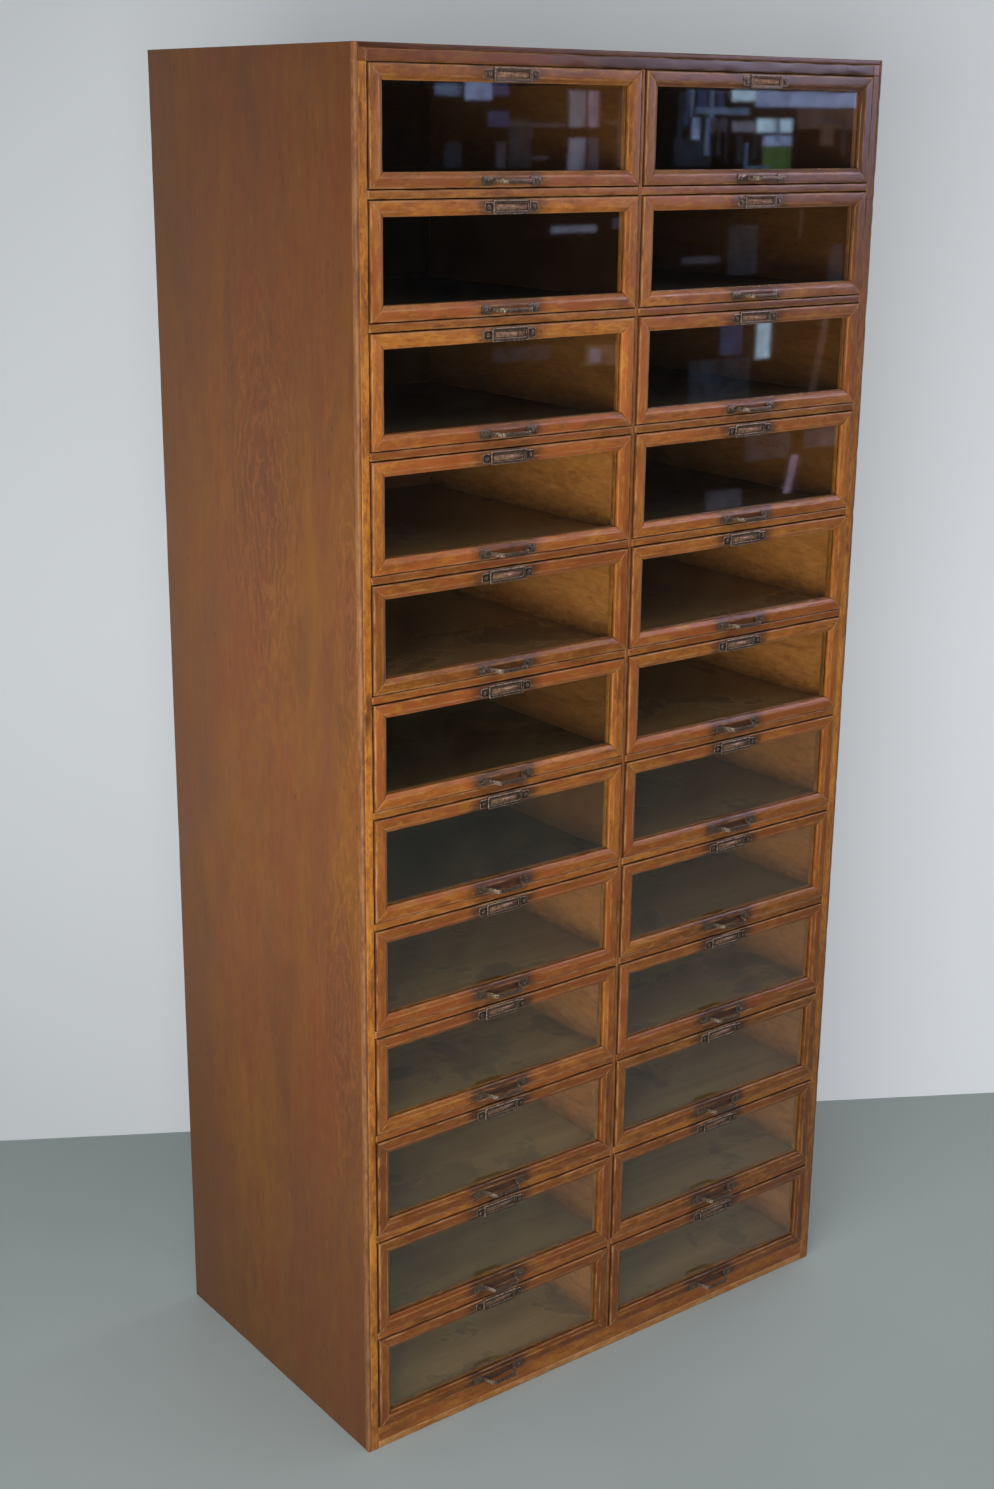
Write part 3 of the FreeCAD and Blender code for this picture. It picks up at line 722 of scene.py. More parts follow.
front_wood = stained_wood(
    "stained_front_wood", FRONT_DARK, FRONT_BODY, FRONT_PALE, FRONT_RUBBED, FRONT_SOILED_AND_SHADED,
    flecks=0.7, red=0.75, bloom_and_sheen=0.85)
lipping_wood = stained_wood(
    "worn_lipping_wood", FRONT_DARK, LIPPING_BODY, LIPPING_PALE, LIPPING_PALE, FRONT_SOILED_AND_SHADED,
    polish=0.48, flecks=0.4, red=0.3)
low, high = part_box("front_stiles")
rail_low, rail_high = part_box("top_rail")
FRONT_HALF = high.x
UPPER_RIGHT_DARKENING, RIGHT_REACH, UPPER_RIGHT_DEPTH = 0.75, 0.40, 0.80
# Painted shade darkens the front's lower right corner.
LOWER_RIGHT_PAINTED_SHADE, PAINTED_SHADE_TOP, PAINTED_SHADE_DEPTH = 0.5, 0.90, 0.60
# The stiles' tone, and the painted light added about mid height, where the light falls strongest.
STILE_TONE, MID_HEIGHT_PAINTED_LIGHT = 1.14, 0.16
LIT_HEIGHT, LIT_SPREAD = 1.1, 0.5


def darker_at_right(place):
    """Darker towards the front's upper right corner, with painted shade at its lower right corner."""
    across = max(0.0, (place.x - FRONT_HALF + RIGHT_REACH) / RIGHT_REACH)
    up = max(0.0, (place.z - rail_high.z + UPPER_RIGHT_DEPTH) / UPPER_RIGHT_DEPTH)
    down = max(0.0, min(1.0, (PAINTED_SHADE_TOP - place.z) / PAINTED_SHADE_DEPTH))
    return UPPER_RIGHT_DARKENING * across * up + LOWER_RIGHT_PAINTED_SHADE * across ** 3 * down


def lit_at_mid_height(place):
    """Painted light: the stile is drawn lightest about the middle of its height."""
    near_lit_height = math.exp(-((place.z - LIT_HEIGHT) / LIT_SPREAD) ** 2)
    return STILE_TONE * (1 + MID_HEIGHT_PAINTED_LIGHT * near_lit_height)


stiles = Workpiece("stiles")
for sign in (-1, 1):
    outer = sign * high.x
    lip = outer - sign * LEAF
    inner = sign * rail_high.x
    stiles.stick(
        "Z", low.z, high.z,
        [(outer, low.y, LIPPING_ROUND), (lip, low.y), (lip, high.y), (outer, high.y)],
        pitch=0.012, nick=0.0004, tone=0.9, warmth=0.3, wear=0.45, soil=darker_at_right, skin=1,
    )
    stiles.stick(
        "Z", low.z, rail_low.z, [(lip, low.y), (inner, low.y), (inner, high.y), (lip, high.y)],
        pitch=0.012, tone=lit_at_mid_height, nick=0.0003, wear=0.8, soil=darker_at_right,
    )
    stiles.stick(
        "Z", rail_low.z, rail_high.z,
        [(lip, low.y), (inner, low.y), (inner, high.y), (lip, high.y)],
        tone=0.6, warmth=1.0, wear=0.5,
    )
stiles.fit("carcass", "front_wood", [front_wood, lipping_wood], "front_stiles")


# Top and bottom boards --------------------------------------------------------------------------
# Both boards are jointed up from four planks and lie on the ends of the sides' cores. The top is
# dusty; the bottom has a pale strip glued on its front edge, rubbed where feet and brooms meet it.

PLANKS = 4
PLANK_TONES = (0.85, 1.1)
TOP_SHADE = 0.22
STRIP_DEPTH = 0.009
STRIP_PALE = (0.450, 0.250, 0.085, 1)
STRIP_BODY = (0.330, 0.150, 0.048, 1)

strip_wood = stained_wood(
    "rubbed_strip_wood", FRONT_BODY, STRIP_BODY, STRIP_PALE, FRONT_RUBBED, FRONT_SOILED_AND_SHADED,
    polish=0.5, flecks=0.5, red=0.2)


def planked(piece, low, high, shade=1.0, **details):
    """A board jointed up from planks side by side."""
    width = (high.y - low.y) / PLANKS
    for number in range(PLANKS):
        front, back = low.y + number * width, low.y + (number + 1) * width
        piece.board(
            "X", (low.x, front, low.z), (high.x, back, high.z), pitch=0.05,
            tone=shade * shop.uniform(*PLANK_TONES), warmth=shop.uniform(0, 0.6), **details)


top_wood = stained_wood(
    "dusty_top_wood", FRONT_DARK, FRONT_BODY, FRONT_PALE, FRONT_RUBBED, FRONT_SOILED_AND_SHADED,
    flecks=0.7, red=0.75, dust=0.6)
low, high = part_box("top_board")
top = Workpiece("top")
planked(top, low, high, shade=TOP_SHADE, sway=0.0002, nick=0.0003, wear=0.4)
top.fit("carcass", "carcass_wood", [top_wood], "top_board")

low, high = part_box("bottom_board")
bottom = Workpiece("bottom")
planked(bottom, Vector((low.x, low.y + STRIP_DEPTH, low.z)), high, skin=1)
bottom.board(
    "X", (rail_low.x, low.y, low.z), (rail_high.x, low.y + STRIP_DEPTH, high.z),
    arris=0.0012, pitch=0.012, nick=0.0006, wear=1.0)
bottom.fit("carcass", "carcass_wood", [strip_wood, bare_wood], "bottom_board")


# Back panel -------------------------------------------------------------------------------------
# A sheet of thin plywood lies in the rebates of the sides, held by small round-headed nails round
# its edge and up the middle, where it backs the centre partition.

NAIL_HEAD = 0.0022
NAIL_RISE = 0.0004
NAIL_DOME = ((1.0, 0.0), (1.0, 0.35), (0.86, 0.72), (0.55, 0.94), (0.2, 1.0))
NAIL_SIDES = 12
NAIL_PITCH = 0.13
NAIL_MARGIN = 0.006
PLY_DARK = (0.115, 0.062, 0.034, 1)
PLY_BODY = (0.200, 0.118, 0.066, 1)
PLY_PALE = (0.270, 0.170, 0.098, 1)
IRON_GREY = (0.200, 0.190, 0.180, 1)
IRON_RUST = (0.120, 0.045, 0.020, 1)

plywood = stained_wood(
    "aged_plywood", PLY_DARK, PLY_BODY, PLY_PALE, PLY_PALE, PLY_DARK, polish=0.66, red=0.05)


def iron_finish():
    """Dull iron with patches of rust."""
    finish, tree = blank_finish("dull_iron")
    grain = board_look(tree)[0]
    rust = between(tree, mottled(tree, grain, (700, 700, 700), detail=4), 0.4, 0.62)
    colour = blended(tree, rust, IRON_GREY, IRON_RUST)
    surface(tree, node(tree, "BsdfPrincipled", {
        "Base Color": colour, "Metallic": 1.0, "Roughness": between(tree, rust, 0, 1, 0.42, 0.8),
    }).outputs[0])
    return finish


def nail_head(piece, seat):
    """A round domed head that stands out backwards from its seat."""
    away = Vector((0, 1, 0))
    across = away.orthogonal().normalized()
    up = away.cross(across)
    drift = own_grain()
    loops = []
    for share, height in NAIL_DOME:
        loop = []
        for n in range(NAIL_SIDES):
            turn = math.tau * n / NAIL_SIDES
            spoke = across * math.cos(turn) + up * math.sin(turn)
            place = Vector(seat) + spoke * NAIL_HEAD * share + away * NAIL_RISE * height
            loop.append((place, place + drift, (1.0, 0.0, height), 0.0))
        loops.append(loop)
    piece.loops(loops, skin=1)


iron = iron_finish()
low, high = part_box("back_panel")
back = Workpiece("back")
back.board("Z", low, high, pitch=0.08, cross_pitch=0.08, sway=0.0004, nick=0.0002, wear=0.3)
gaps_up = round((high.z - low.z - 2 * NAIL_MARGIN) / NAIL_PITCH)
gaps_across = round((high.x - low.x) / NAIL_PITCH)
nails = [
    (x, low.z + NAIL_MARGIN + n * (high.z - low.z - 2 * NAIL_MARGIN) / gaps_up)
    for n in range(gaps_up + 1) for x in (low.x + NAIL_MARGIN, 0.0, high.x - NAIL_MARGIN)
]
nails += [
    (low.x + n * (high.x - low.x) / gaps_across, z)
    for n in range(1, gaps_across) for z in (low.z + NAIL_MARGIN, high.z - NAIL_MARGIN)
]
for x, z in nails:
    nail_head(back, (x, high.y - NAIL_RISE, z))
back.fit("carcass", "carcass_wood", [plywood, iron], "back_panel")


# Centre partition -------------------------------------------------------------------------------
# A thin wall of bare wood divides the two columns. A strip of the front's wood is glued on its
# front edge, flush with the rails.

GAP_GRIME_AND_SHADE = 0.75
GRIMY_SHADED_EDGE = 0.0016
low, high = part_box("centre_partition")


def gap_grime_and_shade(place, start, end, reach=GRIMY_SHADED_EDGE):
    """Dirt and painted shade along the edges of the gaps round the fronts."""
    near = min(place - start, end - place) / reach
    return GAP_GRIME_AND_SHADE * max(0.0, 1.0 - max(0.0, near))


def strip_soil(place):
    """The darkening at the right over the divider strip, and dirt and painted shade along its edges.
    """
    return darker_at_right(place) + gap_grime_and_shade(place.x, low.x, high.x)


bottom_low, bottom_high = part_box("bottom_rail")
top_board_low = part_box("top_board")[0].z
partition = Workpiece("partition")
partition.board(
    "Z", (low.x, bottom_high.y, low.z), (high.x, high.y, top_board_low), pitch=0.2, skin=1)
partition.board(
    "Z", (low.x, low.y + STRIP_DEPTH, bottom_high.z), (high.x, bottom_high.y, rail_low.z),
    pitch=0.2, skin=1)
partition.board(
    "Z", (low.x, low.y, bottom_high.z), (high.x, low.y + STRIP_DEPTH, rail_low.z),
    arris=0.0008, pitch=0.012, tone=0.85, warmth=0.6, nick=0.0004, wear=0.9, soil=strip_soil)
partition.fit("carcass", "front_wood", [front_wood, bare_wood], "centre_partition")


# Top rail, bottom rail and drawer rails ---------------------------------------------------------
# The rails are housed between the stiles and the divider strip, level with them. The two long ones
# run right across; each drawer but the lowest slides out over a short one of its own.

RAIL_DIRT, DIRT_START, DIRT_FULL = 1.3, -0.20, -0.03


def rail_dirt(place):
    """The right half of the top rail is nearly black."""
    return RAIL_DIRT * max(0.0, min(1.0, (place.x - DIRT_START) / (DIRT_FULL - DIRT_START)))


top_rail = Workpiece("upper_rail")
top_rail.board(
    "X", rail_low, rail_high, pitch=0.01, tone=0.50, warmth=0.9, nick=0.0005, wear=0.5,
    soil=rail_dirt)
top_rail.fit("carcass", "front_wood", [front_wood], "top_rail")

bottom_rail = Workpiece("lower_rail")
bottom_rail.board(
    "X", bottom_low, bottom_high, pitch=0.012, tone=0.85, warmth=0.5, nick=0.0004, wear=0.7)
bottom_rail.fit("carcass", "front_wood", [front_wood], "bottom_rail")

ROWS = 12
COLUMNS = ("left", "right")
RAIL_HEIGHT = 0.0116
FRONT_GAP = 0.0012
FRONT_HEIGHT = 0.1527
SIDE_GAP = 0.0023
FINGER_HALF, FINGER_REACH = 0.035, 0.015
RAIL_SOIL, RAIL_SOIL_A_ROW = 0.8, 0.08
RAIL_TONES = (0.72, 1.02)
rails_low, rails_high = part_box("drawer_rails")


def drawer_places():
    """For each drawer: its name, its row and the corners of its wooden part at rest."""
    for column in COLUMNS:
        for row in range(1, ROWS + 1):
            name = f"{column}_drawer_{row:02d}"
            yield name, row, *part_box(f"{name}_box")


rails = Workpiece("rails")
for name, row, low, high in drawer_places():
    if row == ROWS:
        continue
    level = high.z - FRONT_HEIGHT - FRONT_GAP
    middle = (low.x + high.x) / 2

    def fingered(place):
        """Soil where fingers reach down behind the pulls, and dirt and painted shade along the gaps.
        """
        across = max(0.0, abs(place.x - middle) - FINGER_HALF) / FINGER_REACH
        hands = min(RAIL_SOIL, RAIL_SOIL_A_ROW * row) * math.exp(-across * across)
        return hands + darker_at_right(place) + gap_grime_and_shade(place.z, level - RAIL_HEIGHT, level)

    rails.board(
        "X", (low.x - SIDE_GAP, rails_low.y, level - RAIL_HEIGHT),
        (high.x + SIDE_GAP, rails_high.y, level), arris=0.0016, pitch=0.012,
        tone=shop.uniform(*RAIL_TONES), warmth=shop.uniform(0.1, 0.9), nick=0.0004, wear=0.9,
        soil=fingered)
rails.fit("carcass", "front_wood", [front_wood], "drawer_rails")


# Runners and stops ------------------------------------------------------------------------------
# Behind each rail a runner is fixed along either wall, level with it, and a small block near its
# end stops the drawer with its front in line. All are bare wood, polished only by the drawers.

RUNNER_WIDTH = 0.016
STOP_HEIGHT = 0.010
STOP_PLAY = 0.0005
STOP_LENGTH = 0.020
RUNNER_TONES = (0.9, 1.3)
run_low, run_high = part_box("drawer_runners")
runners, stops = Workpiece("runners"), Workpiece("stops")
for name, row, low, high in drawer_places():
    level = high.z - FRONT_HEIGHT - FRONT_GAP
    walls = (low.x - SIDE_GAP, high.x + SIDE_GAP)
    for x0, x1 in ((walls[0], walls[0] + RUNNER_WIDTH), (walls[1] - RUNNER_WIDTH, walls[1])):
        runners.board(
            "Y", (x0, run_low.y, level - RAIL_HEIGHT), (x1, run_high.y, level),
            arris=0.001, pitch=0.1, tone=shop.uniform(*RUNNER_TONES), wear=0.8)
        stop_face = high.y + STOP_PLAY
        stops.board(
            "X", (x0, stop_face, level), (x1, stop_face + STOP_LENGTH, level + STOP_HEIGHT),
            arris=0.001, pitch=0.05, tone=shop.uniform(*RUNNER_TONES))
runners.fit("carcass", "carcass_wood", [bare_wood], "drawer_runners")
stops.fit("carcass", "carcass_wood", [bare_wood], "drawer_stops")


# Drawer trays -----------------------------------------------------------------------------------
# Behind each front is a shallow tray: two sides grooved for a thin bottom, and a back that stands
# on it. The wood is stained inside, and dust and water marks lie on the bottoms. Light and shade
# are painted in: each tray has its own lightness, the backs are dark and the low corners darker.

SIDE_THICKNESS = 0.010
SIDE_HEIGHT = 0.135
MEMBER_WIDTH, MEMBER_DEPTH = 0.0207, 0.020
BOTTOM_LIFT = 0.008
BOTTOM_THICKNESS = 0.005
GROOVE = 0.005
TRAY_DARK = (0.250, 0.092, 0.024, 1)
TRAY_BODY = (0.400, 0.150, 0.034, 1)
TRAY_PALE = (0.450, 0.190, 0.054, 1)
DUST_PALE = (0.405, 0.252, 0.104, 1)
DUST_BODY = (0.252, 0.136, 0.048, 1)
WATER_MARK = (0.110, 0.060, 0.032, 1)
BOTTOM_WOOD = (0.230, 0.115, 0.042, 1)
# Painted shade low in the corners of the trays' sides.
TRAY_PAINTED_SHADE = (0.055, 0.022, 0.009, 1)
CORNER_PAINTED_SHADE, PAINTED_SHADE_RISE = 0.85, 0.055
OUTSIDE_TONE = 0.72
LAST_BARE_ROW, DUST_DEEPENS, MOST_BARE = 9.3, 3, 0.9
# Random tones of the trays, and the backs painted darker as shade where little light reaches.
TRAY_TONES, BACK_PAINTED_SHADE = (0.9, 1.1), (0.3, 0.45)
TRAY_PLAY, BOTTOM_PLAY = 0.0003, 0.0002

# How light each tray's inside is painted, for the light that gets in, from the top row down.
TRAY_PAINTED_LIGHT = {
    "left": (0.36, 0.05, 0.36, 1.10, 1.12, 0.40, 0.26, 0.99, 1.00, 1.12, 0.76, 1.15),
    "right": (0.15, 0.24, 0.31, 0.38, 1.15, 1.25, 0.92, 0.90, 0.88, 1.00, 1.00, 1.08),
}


def by_drawer(tones, name):
    """The tone that a table by column and row gives for a drawer."""
    column, _, row = name.split("_")
    return tones[column][int(row) - 1]


tray_wood = stained_wood(
    "tray_wood", TRAY_DARK, TRAY_BODY, TRAY_PALE, TRAY_PALE, TRAY_PAINTED_SHADE, polish=0.5, red=0.2)


def dusty_bottom():
    """Thin grey-brown wood under dust, with the tide lines of old water marks."""
    finish, tree = blank_finish("dusty_bottom")
    grain, tone, warmth, _, _ = board_look(tree)
    bands = mottled(tree, grain, (1.5, 20, 20), detail=5, roughness=0.6, distortion=0.5)
    clouds = mottled(tree, grain, (6, 6, 6), detail=6, roughness=0.62, distortion=0.4)
    tide = node(tree, "Math", {0: clouds, 1: 0.55, 2: 0.012}, operation="COMPARE").outputs[0]
    colour = tinged(tree, DUST_BODY, DUST_PALE, bands, 0.3, 0.7)
    colour = blended(tree, warmth, colour, BOTTOM_WOOD)
    colour = tinged(tree, colour, WATER_MARK, clouds, 0.52, 0.62, 0.55)
    colour = blended(tree, times(tree, tide, 0.4), colour, DUST_PALE)
    colour = lightened(tree, colour, tone)
    surface(tree, node(tree, "BsdfPrincipled", {
        "Base Color": colour, "Roughness": between(tree, clouds, 0.3, 0.7, 0.55, 0.75),
    }).outputs[0])
    return finish


dusty = dusty_bottom()
for name, row, low, high in drawer_places():
    tray = Workpiece(f"{name}_tray")
    inside_light = by_drawer(TRAY_PAINTED_LIGHT, name)
    front, end = low.y + MEMBER_DEPTH, high.y
    top_edge = low.z + SIDE_HEIGHT
    panel_low = low.z + BOTTOM_LIFT
    panel_high = panel_low + BOTTOM_THICKNESS
    bare_share = max(0.0, min(MOST_BARE, (LAST_BARE_ROW - row) / DUST_DEEPENS))

    def corner_shade(place):
        """Painted shade in the corner between a side and the bottom."""
        return CORNER_PAINTED_SHADE * max(0.0, 1.0 - (place.z - panel_high) / PAINTED_SHADE_RISE) ** 1.5

    for outer, inward in ((low.x, 1), (high.x, -1)):
        inner = outer + inward * SIDE_THICKNESS
        deep = inner - inward * GROOVE
        luck = shop.uniform(*TRAY_TONES)

        def lit_inside(place):
            """Painted light and shade inside the trays; outside, the tone is the same on all."""
            outside = abs(place.x - outer) < SIDE_THICKNESS / 2
            return luck * (OUTSIDE_TONE if outside else inside_light)

        tray.stick(
            "Y", front, end,
            [(outer, low.z), (inner, low.z), (inner, panel_low), (deep, panel_low),
             (deep, panel_high), (inner, panel_high), (inner, top_edge, 0.002),
             (outer, top_edge, 0.002)],
            arris=0.0005, pitch=0.04, cross_pitch=0.012, tone=lit_inside, wear=0.6, soil=corner_shade)
    groove_end = SIDE_THICKNESS - GROOVE + TRAY_PLAY
    tray.board(
        "X", (low.x + groove_end, front, panel_low + BOTTOM_PLAY),
        (high.x - groove_end, end, panel_high - BOTTOM_PLAY), pitch=0.06,
        tone=inside_light * shop.uniform(*TRAY_TONES), warmth=bare_share, wear=0.0, skin=1)
    tray.board(
        "X", (low.x + SIDE_THICKNESS, end - SIDE_THICKNESS, panel_high),
        (high.x - SIDE_THICKNESS, end, top_edge), arris=0.001, pitch=0.05,
        tone=inside_light * shop.uniform(*BACK_PAINTED_SHADE), wear=0.6)
    tray.fit(name, "drawer_wood", [tray_wood, dusty], f"{name}_box")


# Glazed fronts ----------------------------------------------------------------------------------
# Four members mitred at the corners, each bevelled towards the glass and rebated behind for it.
# Beads pinned into the rebates hold the pane. Hands have darkened the wood round the fittings.

BEVEL_WIDTH, BEVEL_DEPTH = 0.0065, 0.003
REBATE = 0.006
FACE_ROUND, BEVEL_ARRIS, GLASS_ARRIS = 0.0020, 0.0005, 0.0007
GLASS_SETBACK, GLASS_THICKNESS = 0.008, 0.003
BEAD_DEPTH, BEAD_ROUND = 0.008, 0.004
HANDLED_HALF, HAND_REACH = 0.047, 0.012
HAND_SOIL, HAND_SOIL_A_ROW = 0.40, 0.08
UNDER_RAIL_DARKENING = 0.30
UPRIGHT_EDGE, WIDER_ON_TOP = 0.0028, 1.7
ROW_LUCK, LEVEL_TONES, UPRIGHT_TONES = 0.03, (0.9, 1.1), (0.9, 1.15)
MEMBER_REDS = (0.2, 1)

# How light each front is, from the top row down.
FRONT_TONES = {
    "left": (0.90, 1.13, 1.12, 1.08, 0.80, 0.98, 0.90, 0.87, 0.80, 0.62, 0.68, 0.57),
    "right": (0.72, 1.12, 1.12, 1.10, 1.00, 0.95, 0.90, 0.85, 0.78, 0.68, 0.66, 0.62),
}


def member_section(edge, inward, face):
    """The section of a front member, as distances in from its outer edge and back from its face."""
    corners = (
        (0, 0, FACE_ROUND), (MEMBER_WIDTH - BEVEL_WIDTH, 0, BEVEL_ARRIS),
        (MEMBER_WIDTH, BEVEL_DEPTH, GLASS_ARRIS), (MEMBER_WIDTH, GLASS_SETBACK),
        (MEMBER_WIDTH - REBATE, GLASS_SETBACK), (MEMBER_WIDTH - REBATE, MEMBER_DEPTH),
        (0, MEMBER_DEPTH),
    )
    return [(face + back, edge + inward * across, *arris) for across, back, *arris in corners]


for name, row, low, high in drawer_places():
    front = Workpiece(f"{name}_front")
    face = low.y
    foot = high.z - FRONT_HEIGHT
    middle = (low.x + high.x) / 2
    front_tone = by_drawer(FRONT_TONES, name) + shop.uniform(-ROW_LUCK, ROW_LUCK)

    def handled(place):
        """Hand soil round the fittings, most on the lower drawers, darkening at the top, and dirt and
        painted shade along the gaps.
        """
        across = max(0.0, abs(place.x - middle) - HANDLED_HALF) / HAND_REACH
        hands = min(1.0, HAND_SOIL + HAND_SOIL_A_ROW * row) * math.exp(-across * across)
        under_rail = UNDER_RAIL_DARKENING if place.z > rail_low.z - MEMBER_WIDTH else 0.0
        return hands + darker_at_right(place) + gap_grime_and_shade(place.z, foot, high.z) + under_rail

    def edged(place):
        """Darkening at the right, and dirt and painted shade along the gaps beside the uprights."""
        reach = UPRIGHT_EDGE * (WIDER_ON_TOP if row == 1 else 1.0)
        return darker_at_right(place) + gap_grime_and_shade(place.x, low.x, high.x, reach)

    for edge, inward in ((foot, 1), (high.z, -1)):
        front.stick(
            "X", low.x, high.x, member_section(edge, inward, face), pitch=0.011,
            mitre=lambda back, up, edge=edge, inward=inward: (up - edge) * inward,
            tone=front_tone * shop.uniform(*LEVEL_TONES), warmth=shop.uniform(*MEMBER_REDS),
            nick=0.0003, wear=0.8, soil=handled)
    for edge, inward in ((low.x, 1), (high.x, -1)):
        upright_section = [(c[1], c[0], *c[2:]) for c in member_section(edge, inward, face)]
        front.stick(
            "Z", foot, high.z, upright_section, pitch=0.011,
            mitre=lambda across, back, edge=edge, inward=inward: (across - edge) * inward,
            tone=front_tone * shop.uniform(*UPRIGHT_TONES), warmth=shop.uniform(*MEMBER_REDS),
            nick=0.0003, wear=0.9, soil=edged)
    bead_front = face + GLASS_SETBACK + GLASS_THICKNESS
    bead_back = bead_front + BEAD_DEPTH
    seat = MEMBER_WIDTH - REBATE
    for edge, inward in ((foot, 1), (high.z, -1)):
        z0, z1 = edge + inward * seat, edge + inward * MEMBER_WIDTH
        front.stick(
            "X", low.x + seat, high.x - seat,
            [(bead_front, z0), (bead_front, z1), (bead_back, z1, BEAD_ROUND), (bead_back, z0)],
            pitch=0.05, tone=1.0, wear=0.5, nick=0)
    for edge, inward in ((low.x, 1), (high.x, -1)):
        x0, x1 = edge + inward * seat, edge + inward * MEMBER_WIDTH
        front.stick(
            "Z", foot + MEMBER_WIDTH, high.z - MEMBER_WIDTH,
            [(x0, bead_front), (x1, bead_front), (x1, bead_back, BEAD_ROUND), (x0, bead_back)],
            pitch=0.05, tone=1.0, wear=0.5, nick=0)
    front.fit(name, "drawer_wood", [front_wood], f"{name}_box")


# Panes ------------------------------------------------------------------------------------------
# Each pane is thin old sheet glass, a little wavy and faintly green. It lies in the rebates of its
# front, where a duster can't reach the corners, and the lower ones are dimmed by dust and by a
# painted haze that stands for the floor they mirror.

GLASS_PLAY = 0.0005
GLASS_BENDS, BOTH_FACES = 1.5, 1.85
GLASS_TINT = (0.940, 0.950, 0.930, 1)
DUST_AND_HAZE = (0.530, 0.455, 0.170, 1)
# The film thickens down the rows: dust, and painted haze standing for the mirrored floor.
HAZE_FILM_ON_TOP, HAZE_FILM_GROWTH, HAZE_FILM_MOST = 0.05, 0.0115, 1.5
SIDE_DUST_REACH, LEVEL_DUST_REACH = 0.006, 0.005


def window_glass():
    """Clear glass that mirrors by Fresnel's law and lets light through, under dust and painted haze.
    """
    finish, tree = blank_finish("old_sheet_glass")
    grain, tone, _, _, soil = board_look(tree)
    waves = mottled(tree, grain, (5, 3, 5), detail=2)
    bump = node(tree, "Bump", {"Height": waves, "Strength": 1.0, "Distance": 0.00012}).outputs[0]
    once = node(tree, "Fresnel", {"IOR": GLASS_BENDS, "Normal": bump}).outputs[0]
    in_front = worked_out(tree, "SUBTRACT", 1.0, node(tree, "NewGeometry").outputs["Backfacing"])
    mirrored = times(tree, times(tree, once, BOTH_FACES), in_front)
    clear = node(tree, "BsdfTransparent", {"Color": GLASS_TINT}).outputs[0]
    mirror = node(tree, "BsdfGlossy", {"Roughness": 0.028, "Normal": bump}).outputs[0]
    glass = node(tree, "MixShader", {0: mirrored, 1: clear, 2: mirror}).outputs[0]
    dusting = mottled(tree, grain, (14, 14, 14), detail=6, roughness=0.65)
    film = between(tree, dusting, 0.40, 0.75, 0.003, 0.020)
    film = worked_out(tree, "ADD", film, times(tree, soil, 0.015))
    film = times(tree, film, tone)
    dust_and_haze = node(tree, "BsdfDiffuse", {"Color": DUST_AND_HAZE}).outputs[0]
    surface(tree, node(tree, "MixShader", {0: film, 1: glass, 2: dust_and_haze}).outputs[0])
    return finish


glass = window_glass()
for name, row, low, high in drawer_places():
    pane = Workpiece(f"{name}_pane")
    foot = high.z - FRONT_HEIGHT
    inset = MEMBER_WIDTH - REBATE + GLASS_PLAY
    glass_front = low.y + GLASS_SETBACK
    left, right = low.x + inset, high.x - inset
    bottom_edge, top_edge = foot + inset, high.z - inset

    def corner_dust(place):
        """Dust gathers where a duster can't reach, along the edges and in the corners."""
        side_near = min(place.x - low.x, high.x - place.x) - MEMBER_WIDTH
        level_near = min(place.z - foot, high.z - place.z) - MEMBER_WIDTH
        at_side = math.exp(-max(side_near, 0) / SIDE_DUST_REACH)
        return at_side + math.exp(-max(level_near, 0) / LEVEL_DUST_REACH)

    pane.stick(
        "X", left, right,
        [(glass_front, bottom_edge), (glass_front + GLASS_THICKNESS, bottom_edge),
         (glass_front + GLASS_THICKNESS, top_edge), (glass_front, top_edge)],
        arris=0.0003, pitch=0.008, cross_pitch=0.008, nick=0, wear=0,
        tone=min(HAZE_FILM_MOST, HAZE_FILM_ON_TOP + HAZE_FILM_GROWTH * row * row), soil=corner_dust)
    pane.fit(name, "glass", [glass], f"{name}_glass_and_pull")


# Label holders ----------------------------------------------------------------------------------
# A pressed brass plate with a raised rim round an empty window, and a screw at each end. Dust
# lies on the window's floor, which is also painted light as a reflection, most in the top row. The
# brass has gone dark brown, and only its edges are rubbed bright.

HOLDER_WIDTH, HOLDER_HEIGHT, HOLDER_PLATE = 0.089, 0.013, 0.0012
RIM_WIDTH, RIM_HEIGHT, RIM_RISE = 0.062, 0.019, 0.003
RIM_MARGIN = 0.0013
WINDOW_WIDTH, WINDOW_HEIGHT = 0.053, 0.009
PLATE_SOFT = 0.0004
FLOOR_INSET = 0.0006
BRASS_DARK = (0.034, 0.016, 0.011, 1)
BRASS_BROWN = (0.090, 0.052, 0.028, 1)
BRASS_BRIGHT = (0.560, 0.440, 0.320, 1)
# The window floor's lightness by row: dust, and a painted reflection strongest in the top row.
FLOOR_DUST_AND_SHEEN, LESS_SHEEN_A_ROW = 5.07, 0.195

